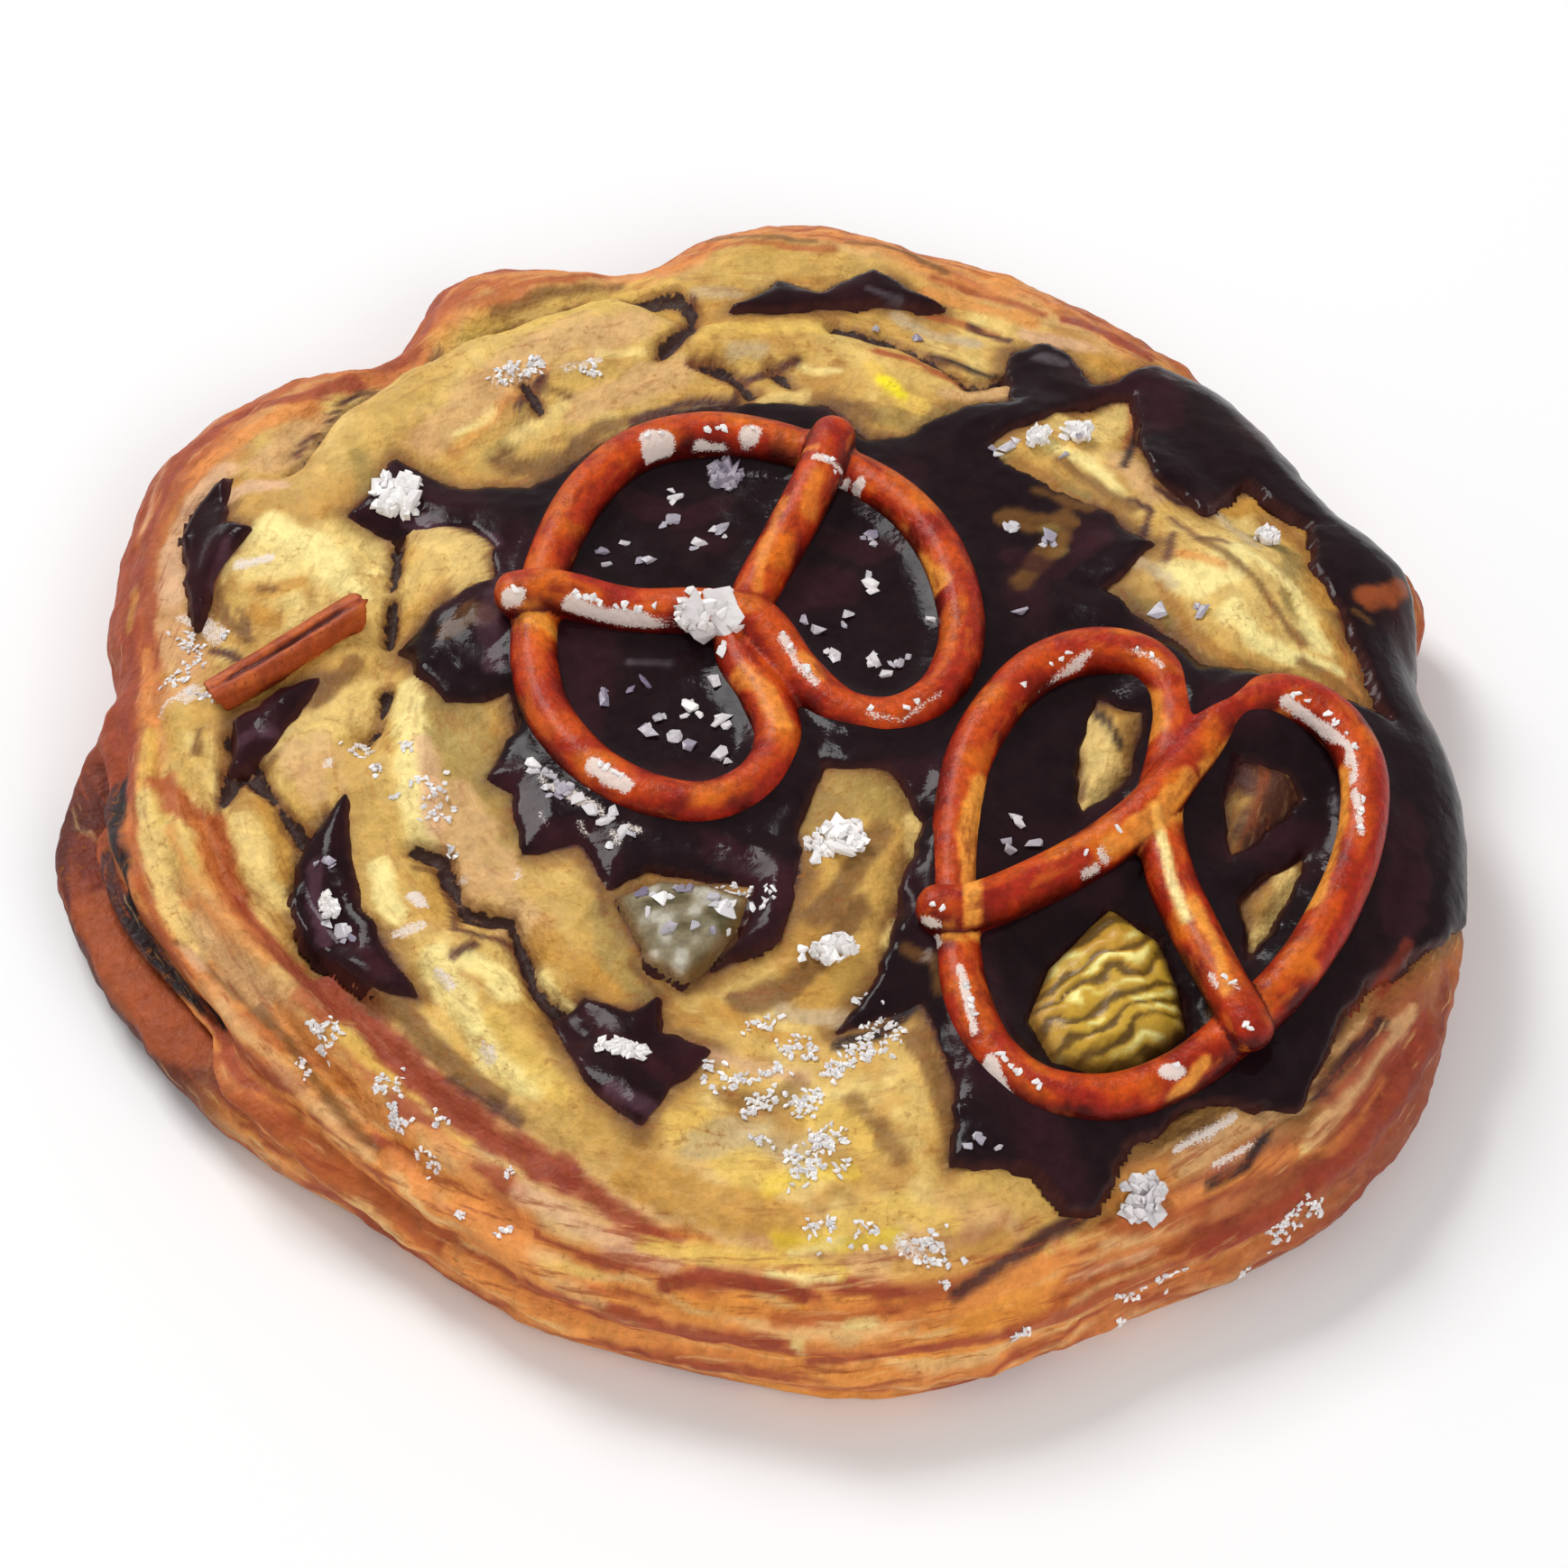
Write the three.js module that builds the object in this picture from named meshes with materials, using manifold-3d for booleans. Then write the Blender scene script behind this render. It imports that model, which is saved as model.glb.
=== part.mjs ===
// A thick chocolate pretzel cookie, about 110 by 117 mm: a round of baked dough with a rippled rim,
// a pool and scattered chunks of melted chocolate, two small twisted pretzels and a piece of a
// pretzel stick pressed into the top, two lumps of filling that show through, and flakes of salt.
// Units are millimetres, +Z is up, and the cookie rests on z = 0 with its middle over the origin.
//
// The top and the side are drawn on one flat map, as if the cookie's skin had been peeled and laid
// out. A point of the map is its distance along the skin from the middle of the top, and its
// direction. skin() wraps the map back onto the cookie.
import * as THREE from "three";
import { mergeVertices } from "three/addons/utils/BufferGeometryUtils.js";
import Module from "manifold-3d";

const wasm = await Module();
wasm.setup();

// ---------------------------------------------------------------- driving dimensions
const BASE_RADIUS = 53.5; // of the widest line of the side, before its lobes
const RIM_WIDTH = 11; // from the widest line in to the flat of the top
const BACK_FULLNESS = 2.5; // how much narrower the rim is at the back, where it stands fuller
const RIM_RISE = 8; // from the widest line up to the flat of the top
const WIDEST_HEIGHT = 5; // of the widest line over the table
const FOOT_INSET = 3; // from the widest line in to the edge that meets the table
const DOME_RISE = 3.6; // of the middle of the top over its rim
const CLEARANCE = 0.35; // between two pieces that touch
const HOLLOW_DEPTH = 1.7; // of the hollow in the dough that a filling sits in
const FILLING_DEPTH = 1.1; // of a filling below the skin
const ROPE_RADIUS = 1.8; // of a pretzel's rope of dough

// How finely the solids are faceted.
const DOUGH_AROUND = 72;
const DOUGH_RINGS = 23;
const MAP_CELL = 4.6; // of a piece that is cut on the map and wrapped
const ROPE_SIDES = 8;
const ROPE_STEP = 3.6;

const FOOT_LENGTH = 6.4; // along the skin, from the widest line down to the table

// ---------------------------------------------------------------- the outline seen from above
// Each lobe swells or pinches the edge: its direction in degrees, how far, and its half width.
const EDGE_LOBES = [
  [8, -2.3, 7], [20, 2.6, 6], [67, 4.3, 20], [89, 5.9, 10], [102, -1.6, 4], [116, 5.7, 14], [127, -5.1, 6],
  [144, 6.7, 20], [171, -1.6, 5], [189, 3.6, 13], [233, -2.7, 14], [280, 3.1, 14], [321, 5.3, 24],
];

const degrees = (x, y) => (THREE.MathUtils.radToDeg(Math.atan2(y, x)) + 360) % 360;
const turnBetween = (a, b) => ((a - b + 540) % 360) - 180;
const bell = (distance, width) => Math.exp(-((distance / width) ** 2));
const smooth = THREE.MathUtils.smoothstep;

function edgeRadius(direction) {
  const swells = EDGE_LOBES.map(([at, out, width]) => out * bell(turnBetween(direction, at), width));
  return swells.reduce((sum, swell) => sum + swell, BASE_RADIUS);
}

const rimWidth = (direction) => RIM_WIDTH - BACK_FULLNESS * bell(turnBetween(direction, 100), 50);

// From the flat of the top out to the widest line, along the skin: a quarter of an ellipse.
const shoulderLength = (direction) =>
  (Math.PI / 2) * Math.hypot(rimWidth(direction), RIM_RISE) * Math.SQRT1_2;

const flatRadius = (direction) => edgeRadius(direction) - rimWidth(direction);

// How far along the skin the edge lies that meets the table.
const skinReach = (direction) => flatRadius(direction) + shoulderLength(direction) + FOOT_LENGTH;

// ---------------------------------------------------------------- lines on the map
function distanceToStretch(x, y, [ax, ay], [bx, by]) {
  const dx = bx - ax;
  const dy = by - ay;
  const share = THREE.MathUtils.clamp(((x - ax) * dx + (y - ay) * dy) / (dx * dx + dy * dy), 0, 1);
  return Math.hypot(x - ax - share * dx, y - ay - share * dy);
}

const distanceToLine = (x, y, line) =>
  Math.min(...line.slice(1).map((stop, i) => distanceToStretch(x, y, line[i], stop)));

// ---------------------------------------------------------------- the relief of the dough
// Folds run along a line of the map: how far they rise (or sink, if negative) and how wide they are.
const FOLDS = [
  // The fold at the back left, and the crease behind it.
  { rise: 2.2, width: 5.5, line: [[-35.5, 26], [-30, 33], [-23, 38.5], [-14, 42.5], [-9, 42.5]] },
  { rise: -1.8, width: 2, line: [[-39, 27], [-36.5, 33], [-31, 39], [-26, 42.5], [-13, 47.5], [-6.5, 43]] },
  // The pale lobe at the left, and the hollow behind it.
  { rise: 1.6, width: 5.5, line: [[-41, 19], [-37, 15]] },
  { rise: -1.4, width: 1.9, line: [[-45, 23], [-46, 16], [-45, 9]] },
  // The pinch that the left creases leave, and the pale ridges below it.
  { rise: -1.5, width: 2.2, line: [[-31, 18], [-30, 11], [-30, 4], [-31, -3]] },
  { rise: 1.0, width: 2.6, line: [[-28, 3], [-27, -6], [-26, -13]] },
  { rise: 1.3, width: 3.2, line: [[-25, -20], [-21, -28], [-15, -36], [-7, -40]] },
  { rise: -1.2, width: 1.9, line: [[-26, -14], [-23.5, -20], [-19, -21], [-17, -28], [-14, -31]] },
  { rise: 1.0, width: 2.4, line: [[-39, -9], [-38, -15]] },
  { rise: -1.2, width: 1.8, line: [[-42, -3], [-38, -8], [-36, -15], [-33, -22]] },
  // The dough between the pretzels.
  { rise: 1.4, width: 5, line: [[6, -9], [6, -16], [3, -23]] },
  { rise: -0.9, width: 2.6, line: [[9, -30], [3, -29.5], [-5, -27]] },
  // The back.
  { rise: 1.2, width: 4.5, line: [[-6, 37], [3, 40], [11, 36]] },
  { rise: -1.0, width: 1.9, line: [[-8, 38], [-4, 36], [3, 37]] },
  // The lump that the second pretzel leans on, and its neighbours.
  { rise: 3.9, width: 8.5, line: [[34, 12], [37, 5], [35, 0]] },
  { rise: 1.9, width: 5, line: [[22, 28], [28, 25]] },
  { rise: 1.0, width: 4, line: [[-25, 15], [-25, 13]] },
  { rise: 0.8, width: 9, line: [[-2, -43], [10, -40]] }, // front
  // The bowls that the two pretzels lie in.
  { rise: -1.4, width: 15, line: [[-6, 14], [3, 8], [-5, 0]] },
  { rise: -1.4, width: 10, line: [[22, -24], [27, -30]] },
];

// The ripples of the lower rim follow one valley: [direction in degrees, distance along the skin].
const VALLEY = [[170, 49], [181, 47], [196, 44], [221, 41.5], [242, 44], [263, 48.4], [290, 51], [330, 52]];
const RIPPLE_SPACING = 4.6;
const RIPPLE_HEIGHT = 0.85;

// A ledge: the bottom layer of the left side stands out, below a crack.
const LEDGE = { from: 174, to: 219, ramp: 9, setback: 3.4, crack: 2.2, below: 13 };

function valleyDistance(direction) {
  const next = VALLEY.findIndex(([at]) => at >= direction);
  if (next <= 0) return direction < VALLEY[0][0] ? VALLEY[0][1] : VALLEY.at(-1)[1];
  const [[from, near], [to, far]] = [VALLEY[next - 1], VALLEY[next]];
  return THREE.MathUtils.lerp(near, far, smooth(direction, from, to));
}

function ripple(along, direction) {
  const reach = smooth(direction, 172, 190) * (1 - smooth(direction, 318, 350));
  const strength = 0.45 + 0.55 * bell(turnBetween(direction, 215), 32);
  const past = along - valleyDistance(direction);
  const rim = smooth(past, -4, 0) * (1 - smooth(past, 11, 16));
  return -RIPPLE_HEIGHT * reach * strength * rim * Math.cos((2 * Math.PI * past) / RIPPLE_SPACING);
}

function ledge(along, direction, flat) {
  const reach = smooth(direction, LEDGE.from, LEDGE.from + LEDGE.ramp)
    * (1 - smooth(direction, LEDGE.to - LEDGE.ramp, LEDGE.to));
  const crackAt = flat + LEDGE.below;
  const above = smooth(along, flat, crackAt - 3) * (1 - smooth(along, crackAt - 0.6, crackAt + 1.8));
  return -reach * (LEDGE.setback * above + LEDGE.crack * bell(along - crackAt, 1.6));
}

function relief(x, y) {
  const along = Math.hypot(x, y);
  const direction = degrees(x, y);
  const folds = FOLDS.map(({ rise, width, line }) => rise * bell(distanceToLine(x, y, line), width));
  const layers = ripple(along, direction) + ledge(along, direction, flatRadius(direction));
  const total = folds.reduce((sum, fold) => sum + fold, layers);
  const last = skinReach(direction); // the edge that meets the table stays in its place
  return total * (1 - smooth(along, last - 5, last - 0.5));
}

// ---------------------------------------------------------------- from the map to the cookie
function bareSkin(x, y) {
  const along = Math.hypot(x, y);
  const direction = degrees(x, y);
  const flat = flatRadius(direction);
  const shoulder = shoulderLength(direction);
  let out;
  let up;
  if (along <= flat) {
    out = along;
    up = WIDEST_HEIGHT + RIM_RISE + DOME_RISE * (1 - (along / flat) ** 2) ** 1.25;
  } else if (along <= flat + shoulder) {
    const turn = ((along - flat) / shoulder) * (Math.PI / 2);
    out = flat + rimWidth(direction) * Math.sin(turn);
    up = WIDEST_HEIGHT + RIM_RISE * Math.cos(turn);
  } else {
    const turn = Math.min((along - flat - shoulder) / FOOT_LENGTH, 1) * (Math.PI / 2);
    out = edgeRadius(direction) - FOOT_INSET * (1 - Math.cos(turn));
    up = WIDEST_HEIGHT * (1 - Math.sin(turn));
  }
  const angle = THREE.MathUtils.degToRad(direction);
  return new THREE.Vector3(out * Math.cos(angle), out * Math.sin(angle), up);
}

const NORMAL_STEP = 0.6; // over which the slope of the skin is taken

function skinNormal(x, y) {
  const step = NORMAL_STEP;
  const alongX = bareSkin(x + step, y).sub(bareSkin(x - step, y));
  const alongY = bareSkin(x, y + step).sub(bareSkin(x, y - step));
  return alongX.cross(alongY).normalize();
}

// A point of the cookie's skin, lifted off it by lift.
function skin(x, y, lift = 0) {
  return bareSkin(x, y).addScaledVector(skinNormal(x, y), relief(x, y) + lift);
}

// ---------------------------------------------------------------- solids
function solidOf(geometry) {
  geometry.deleteAttribute("normal");
  geometry.deleteAttribute("uv");
  const merged = mergeVertices(geometry, 1e-4);
  return new wasm.Manifold(
    new wasm.Mesh({
      numProp: 3,
      vertProperties: merged.attributes.position.array,
      triVerts: new Uint32Array(merged.index.array),
    }),
  );
}

function geometryOf(solid) {
  const { vertProperties, triVerts, numProp, numVert } = solid.getMesh();
  const positions = new Float32Array(numVert * 3);
  for (let i = 0; i < numVert; i++) {
    positions.set(vertProperties.subarray(i * numProp, i * numProp + 3), i * 3);
  }
  return new THREE.BufferGeometry()
    .setAttribute("position", new THREE.BufferAttribute(positions, 3))
    .setIndex(new THREE.BufferAttribute(triVerts, 1));
}

// Moves every vertex of a geometry through move(x, y, z), which returns a Vector3.
function reshape(geometry, move) {
  const positions = geometry.attributes.position;
  for (let i = 0; i < positions.count; i++) {
    const { x, y, z } = move(positions.getX(i), positions.getY(i), positions.getZ(i), i);
    positions.setXYZ(i, x, y, z);
  }
  return geometry;
}

// The dough is a ball whose rings are slid onto the skin, with the last pole as the flat underside.
const RING_CROWDING = 0.35; // how much closer together the rings lie at the rim

function doughSolid() {
  const ball = new THREE.SphereGeometry(1, DOUGH_AROUND, DOUGH_RINGS);
  const uv = ball.attributes.uv.clone();
  reshape(ball, (x, y, z, i) => {
    const ring = Math.round((1 - uv.getY(i)) * DOUGH_RINGS);
    if (ring === DOUGH_RINGS) return new THREE.Vector3(0, 0, 0);
    const share = ring / (DOUGH_RINGS - 1);
    const angle = 2 * Math.PI * (uv.getX(i) % 1);
    const crowded = share + RING_CROWDING * (share - share ** 2);
    const along = skinReach(THREE.MathUtils.radToDeg(angle)) * crowded;
    const point = skin(along * Math.cos(angle), along * Math.sin(angle));
    if (ring === DOUGH_RINGS - 1) point.z = 0;
    return point;
  });
  return solidOf(ball);
}

// Moves every corner of a closed outline outwards by the given distance, or inwards if negative.
function offsetOutline(outline, by) {
  const turnsLeft = THREE.ShapeUtils.area(outline.map(([x, y]) => new THREE.Vector2(x, y))) > 0;
  const side = turnsLeft ? by : -by;
  return outline.map(([x, y], i) => {
    const [px, py] = outline.at(i - 1);
    const [nx, ny] = outline[(i + 1) % outline.length];
    const before = new THREE.Vector2(y - py, px - x).normalize();
    const after = new THREE.Vector2(ny - y, x - nx).normalize();
    const outward = before.add(after).normalize();
    const reach = Math.min(1 / Math.max(outward.dot(after), 0.01), 2); // sharp corners are kept short
    return [x + side * reach * outward.x, y + side * reach * outward.y];
  });
}

const PRISM_DEPTH = 30;

function prism(outline, grow) {
  const shape = new THREE.Shape(offsetOutline(outline, grow).map(([x, y]) => new THREE.Vector2(x, y)));
  const tall = new THREE.ExtrudeGeometry(shape, { depth: PRISM_DEPTH, bevelEnabled: false });
  return solidOf(tall.translate(0, 0, -PRISM_DEPTH / 2));
}

// A piece cut on the flat map from an outline, less its gaps, and wrapped onto the cookie. top(x, y)
// and bottom say how far its two faces lie off the skin. Both faces are bowed a little while they
// are cut, so that no two of their cells lie in one plane and each keeps its corners.
const BOW = 0.002;

function wrappedPiece({ outline, gaps = [], grow = 0, top, bottom }) {
  const low = [0, 1].map((k) => Math.min(...outline.map((stop) => stop[k])) - 1);
  const high = [0, 1].map((k) => Math.max(...outline.map((stop) => stop[k])) + 1);
  const size = [0, 1].map((k) => high[k] - low[k]);
  const cells = size.map((length) => Math.ceil(length / MAP_CELL));
  const sheet = new THREE.BoxGeometry(size[0], size[1], 2, cells[0], cells[1], 1)
    .translate((low[0] + high[0]) / 2, (low[1] + high[1]) / 2, 0);
  reshape(sheet, (x, y, z) => new THREE.Vector3(x, y, Math.sign(z) * (1 + BOW * (x * x + y * y))));
  const whole = solidOf(sheet).intersect(prism(outline, grow));
  const flat = gaps.reduce((left, gap) => left.subtract(prism(gap, -grow)), whole);
  const wrapped = reshape(geometryOf(flat), (x, y, z) => skin(x, y, z > 0 ? top(x, y) : bottom));
  return solidOf(wrapped);
}

// ---------------------------------------------------------------- the chocolate and the lumps
// Outlines on the map, as corners [x, y].
const POOL = [
  [-30, 25.8], [-24.8, 23], [-19.5, 23.2], [-10.8, 30.2], [-6, 32], [4.8, 32.2], [7.8, 28.3],
  [10.8, 28.6], [15.2, 32], [19.2, 33], [19.6, 39.6], [23, 41], [26.2, 36], [31.4, 38.8], [36.4, 37.4],
  [40.6, 33.1], [45.5, 23.1], [50.4, 18], [53, 11], [54.6, 3], [55.4, -8], [54.4, -16], [44.1, -25],
  [38.4, -36.2], [32.2, -35.8], [25.6, -40.1], [23.5, -44.6], [21.5, -45.2], [18.8, -42.4], [13.2, -42.8], [13.4, -36],
  [11.2, -28.7], [5, -31.3], [8.3, -26.6], [9, -22.5], [11.8, -12.6], [9.2, -8], [3.8, -7.2], [2, -13.3],
  [2.2, -18], [0.6, -23.8], [-4.6, -25.6], [-1.5, -22.5], [-1, -18.6], [-9.2, -16.3], [-12.2, -18.2],
  [-14.4, -14.1], [-18.7, -14.8], [-19.8, -9], [-21.9, -7.7], [-19.6, -3], [-20.3, 1.3], [-25.1, 0],
  [-29.2, 6.8], [-25.8, 10], [-21.6, 12.5], [-21.9, 16], [-24, 18], [-30.5, 18.6], [-33.4, 20],
];

const YELLOW_LUMP = [
  [25.6, -19.4], [29.2, -22.3], [30.5, -26.6], [31, -30], [27.7, -33.2], [24.1, -34], [20.8, -33.2],
  [19.2, -29.5], [20.9, -24.7],
];
const GREY_LUMP = [
  [-11.6, -19.4], [-8.3, -18], [-4.7, -18.4], [-1.8, -20.2], [-2.4, -22.4], [-4.6, -25.2], [-6.6, -26.8],
  [-9.1, -25.3],
];

// Dough that stands clear of the pool: the big lump at the right, and what shows inside the second pretzel.
const POOL_GAPS = [
  [
    [17.3, 27.5], [24.8, 33.2], [29.5, 35.2], [30.2, 23.9], [34.2, 20.6], [38, 25.4], [42.6, 20.4],
    [43.6, 12.2], [47.2, 0.8], [39.3, 1.4], [32.7, 1.4], [31.2, 5], [26, 11], [29.6, 15.2], [26.9, 19.6],
    [18.3, 24.9],
  ],
  [[25.2, -0.6], [28.4, -2.2], [27.4, -7.6], [23.3, -11.8], [23.2, -5.2]],
  [[35.6, -6.4], [39.6, -6.6], [40.6, -8.8], [37.2, -13], [34.6, -15], [34.4, -10]],
  [[40.8, -13.2], [40.6, -15.4], [36, -23.6], [35.2, -18.4]],
];

// The chunks of chocolate that lie apart from the pool.
const CHUNKS = {
  chocolate_left: [
    [-32.5, -8.5], [-34.8, -11.8], [-35.9, -14.2], [-36.3, -17.5], [-35.2, -21], [-33.2, -23.6],
    [-30.3, -26.1], [-26.3, -27.4], [-29.4, -22], [-31, -18.5], [-32.2, -14.3],
  ],
  chocolate_front: [
    [-13.9, -27.9], [-16, -29.5], [-15, -32.6], [-13.4, -35.8], [-9.5, -40], [-7.5, -36.5], [-4.5, -33.1],
    [-8.4, -31.3], [-8.4, -28.2], [-10.4, -29.5],
  ],
  chocolate_rim: [
    [-43.9, 25.4], [-45.9, 23.8], [-46.7, 20.1], [-46.4, 16.3], [-45.4, 11], [-44.2, 15], [-41.2, 18.6],
    [-43.6, 20.2],
  ],
  chocolate_streak: [[-35.4, 3.6], [-38, 2.6], [-41.6, 0], [-41.6, -4.2], [-38.6, -3.4]],
  chocolate_back: [
    [-3, 43.6], [0.4, 47.6], [4, 46.2], [8.4, 49.4], [13.9, 45.2], [7, 45.4], [3, 44],
  ],
};

// Chocolate is thin at its edge and swells to a rounded top.
const EDGE_LIFT = 0.2;
const EDGE_WIDTH = 3;

function swell(x, y, outline, gaps, full) {
  const borders = [outline, ...gaps].map((corners) => [...corners, corners[0]]);
  const inside = Math.min(...borders.map((border) => distanceToLine(x, y, border)));
  return EDGE_LIFT + (full - EDGE_LIFT) * Math.sqrt(Math.min(inside / EDGE_WIDTH, 1));
}

function fillingSolid({ outline, gaps = [], full }) {
  const top = (x, y) => swell(x, y, outline, gaps, full);
  return wrappedPiece({ outline, gaps, grow: -CLEARANCE, top, bottom: -FILLING_DEPTH });
}

const BROWN = 0x21130f; // of dark chocolate
const FILLINGS = {
  chocolate_pool: { outline: POOL, gaps: [...POOL_GAPS, YELLOW_LUMP, GREY_LUMP], full: 0.95, colour: BROWN },
  lump_yellow: { outline: YELLOW_LUMP, full: 2.2, colour: 0xc9a33f },
  lump_grey: { outline: GREY_LUMP, full: 1.7, colour: 0xa39a78 },
};
for (const [name, outline] of Object.entries(CHUNKS)) FILLINGS[name] = { outline, full: 0.9, colour: BROWN };

// The hollows in the dough that the fillings sit in. The yellow lump shares the pool's.
const HOLLOWS = [
  { outline: POOL, gaps: POOL_GAPS },
  { outline: GREY_LUMP, extra: 0.5 },
  ...Object.values(CHUNKS).map((outline) => ({ outline })),
];

const OVER_EVERYTHING = 3.5; // over the skin

const hollowSolid = ({ outline, gaps = [], extra = 0 }) =>
  wrappedPiece({ outline, gaps, top: () => OVER_EVERYTHING, bottom: -HOLLOW_DEPTH - extra });

// ---------------------------------------------------------------- the pretzels
// A rope of dough is bent into a loop, its ends cross once in the middle and are pressed onto the
// loop again. Its line is given as [x, y] from one end to the other, seen from above; rise lifts a
// stop off the pretzel's own plane where the rope passes over itself.
const PRETZELS = {
  pretzel_1: {
    height: 16.5, // of the plane at y = tiltLine
    tilt: 0,
    tiltLine: 0,
    line: [
      [-21.6, 8.4, 1.6], [-17.5, 9, 1.7], [-11, 8, 0.6], [-5, 7.6, 0.9], [-1.2, 6.4, 1.2],
      [2.2, 1.6, 0.3], [5.6, -2, 0], [9.2, -2.8, 0], [12.8, -0.4, 0], [14.7, 4.6, 0], [14.6, 10, 0],
      [13, 15.6, 0], [10.2, 20, 0], [6, 23.6, -0.3], [1, 26.2, 0], [-5, 27.4, 0], [-10.6, 25.8, 0],
      [-14.4, 21.6, 0], [-16.6, 16.6, 0], [-18, 10.8, -0.3], [-18.4, 3.8, -0.2], [-17, -2.4, 0],
      [-13.6, -7.4, 0], [-9.2, -10.4, 0], [-4.8, -11.2, 0], [-1, -9, 0], [0.6, -4.8, 0], [-0.6, -0.4, 0],
      [-2.6, 4.4, -0.2], [-1.4, 10, -0.1], [1, 15.4, 0.5], [3.4, 20.8, 1.4], [5.4, 27.4, 1.4],
    ],
  },
  pretzel_2: {
    height: 15.9,
    tilt: 0.09,
    tiltLine: -16,
    line: [
      [10.8, -21.6, 1.5], [14.6, -21.8, 1.7], [19, -19.3, 0.8], [24, -16.1, 0.6], [28.6, -12.4, 1.2],
      [31.8, -7.3, 0.5], [35, -2.9, 0], [39, -1.1, 0], [42.8, -2.9, 0], [45, -7.3, 0], [44.8, -13.2, 0],
      [42.6, -19.9, 0], [39, -26.2, 0], [34.6, -31, -0.3], [29.8, -35.2, 0], [24.8, -37.1, 0],
      [19.8, -36.4, 0], [16.4, -33.3, 0], [14.4, -27.9, 0], [13.8, -21, -0.3], [14, -13.4, 0],
      [15, -7.3, 0], [17.4, -2.1, 0], [20.8, 1.7, 0], [25, 3.3, 0], [29, 2.3, 0], [31, -1.5, 0],
      [30.6, -6.3, 0], [29.4, -11.5, -0.2], [30, -17.2, 0], [31.6, -22.6, 0.5], [33.6, -28.3, 1.4],
      [36, -33.7, 1.4],
    ],
  },
};
// The rope is cut into three ropes that never cross themselves, at these stops of its line.
const ROPE_CUTS = [7, 25];
const LENGTH_STEPS = 400; // for measuring along a rope

function pretzelCurve({ height, tilt, tiltLine, line }) {
  const stops = line.map(([x, y, rise]) => new THREE.Vector3(x, y, height + tilt * (y - tiltLine) + rise));
  return new THREE.CatmullRomCurve3(stops, false, "centripetal");
}

// A closed rope from one ring of a set to another, so that neighbouring ropes meet ring to ring.
// A free end is rounded off over its last rings.
const END_ROUNDING = [0.72, 0.96, 1];

function ropeSolid(rings, from, to, radius) {
  const chosen = rings.slice(from, to + 1);
  const positions = [];
  const index = [];
  chosen.forEach(({ centre, across, up }, k) => {
    const fromEnd = Math.min(from + k, rings.length - 1 - from - k);
    const reach = radius * END_ROUNDING[Math.min(fromEnd, 2)];
    for (let side = 0; side < ROPE_SIDES; side++) {
      const angle = (2 * Math.PI * side) / ROPE_SIDES;
      const point = centre.clone()
        .addScaledVector(across, reach * Math.cos(angle))
        .addScaledVector(up, reach * Math.sin(angle));
      positions.push(point.x, point.y, point.z);
    }
  });
  for (let k = 0; k + 1 < chosen.length; k++) {
    for (let side = 0; side < ROPE_SIDES; side++) {
      const next = (side + 1) % ROPE_SIDES;
      const [a, b] = [k * ROPE_SIDES + side, k * ROPE_SIDES + next];
      index.push(a, b, b + ROPE_SIDES, a, b + ROPE_SIDES, a + ROPE_SIDES);
    }
  }
  const last = (chosen.length - 1) * ROPE_SIDES;
  for (let side = 1; side + 1 < ROPE_SIDES; side++) {
    index.push(0, side + 1, side);
    index.push(last, last + side, last + side + 1);
  }
  const geometry = new THREE.BufferGeometry()
    .setAttribute("position", new THREE.Float32BufferAttribute(positions, 3))
    .setIndex(index);
  return solidOf(geometry);
}

function ropeRings(curve) {
  const steps = Math.round(curve.getLength() / ROPE_STEP);
  const upward = new THREE.Vector3(0, 0, 1);
  return Array.from({ length: steps + 1 }, (_, k) => {
    const tangent = curve.getTangentAt(k / steps);
    const across = new THREE.Vector3().crossVectors(upward, tangent).normalize();
    const up = new THREE.Vector3().crossVectors(tangent, across);
    return { centre: curve.getPointAt(k / steps), across, up };
  });
}

function pretzelSolid(pretzel, radius) {
  const curve = pretzelCurve(pretzel);
  const rings = ropeRings(curve);
  const lengths = curve.getLengths(LENGTH_STEPS);
  const cuts = ROPE_CUTS.map((stop) => {
    const reached = lengths[Math.round((LENGTH_STEPS * stop) / (pretzel.line.length - 1))];
    return Math.round((reached / lengths.at(-1)) * (rings.length - 1));
  });
  return ropeSolid(rings, 0, cuts[0], radius)
    .add(ropeSolid(rings, cuts[0], cuts[1], radius))
    .add(ropeSolid(rings, cuts[1], rings.length - 1, radius));
}

// ---------------------------------------------------------------- the piece of pretzel stick
const STICK = { from: [-43, 2.2], to: [-32.6, 10], radius: 1.5, lift: 0.6, sides: 12 };

function stickSolid(radius) {
  const ends = [STICK.from, STICK.to].map(([x, y]) => skin(x, y, STICK.lift));
  const axis = ends[1].clone().sub(ends[0]);
  const length = axis.length() + 2 * (radius - STICK.radius);
  const rod = new THREE.CylinderGeometry(radius, radius, length, STICK.sides);
  const upright = new THREE.Vector3(0, 1, 0);
  rod.applyQuaternion(new THREE.Quaternion().setFromUnitVectors(upright, axis.normalize()));
  const middle = ends[0].lerp(ends[1], 0.5);
  return solidOf(rod.translate(middle.x, middle.y, middle.z));
}

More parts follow.
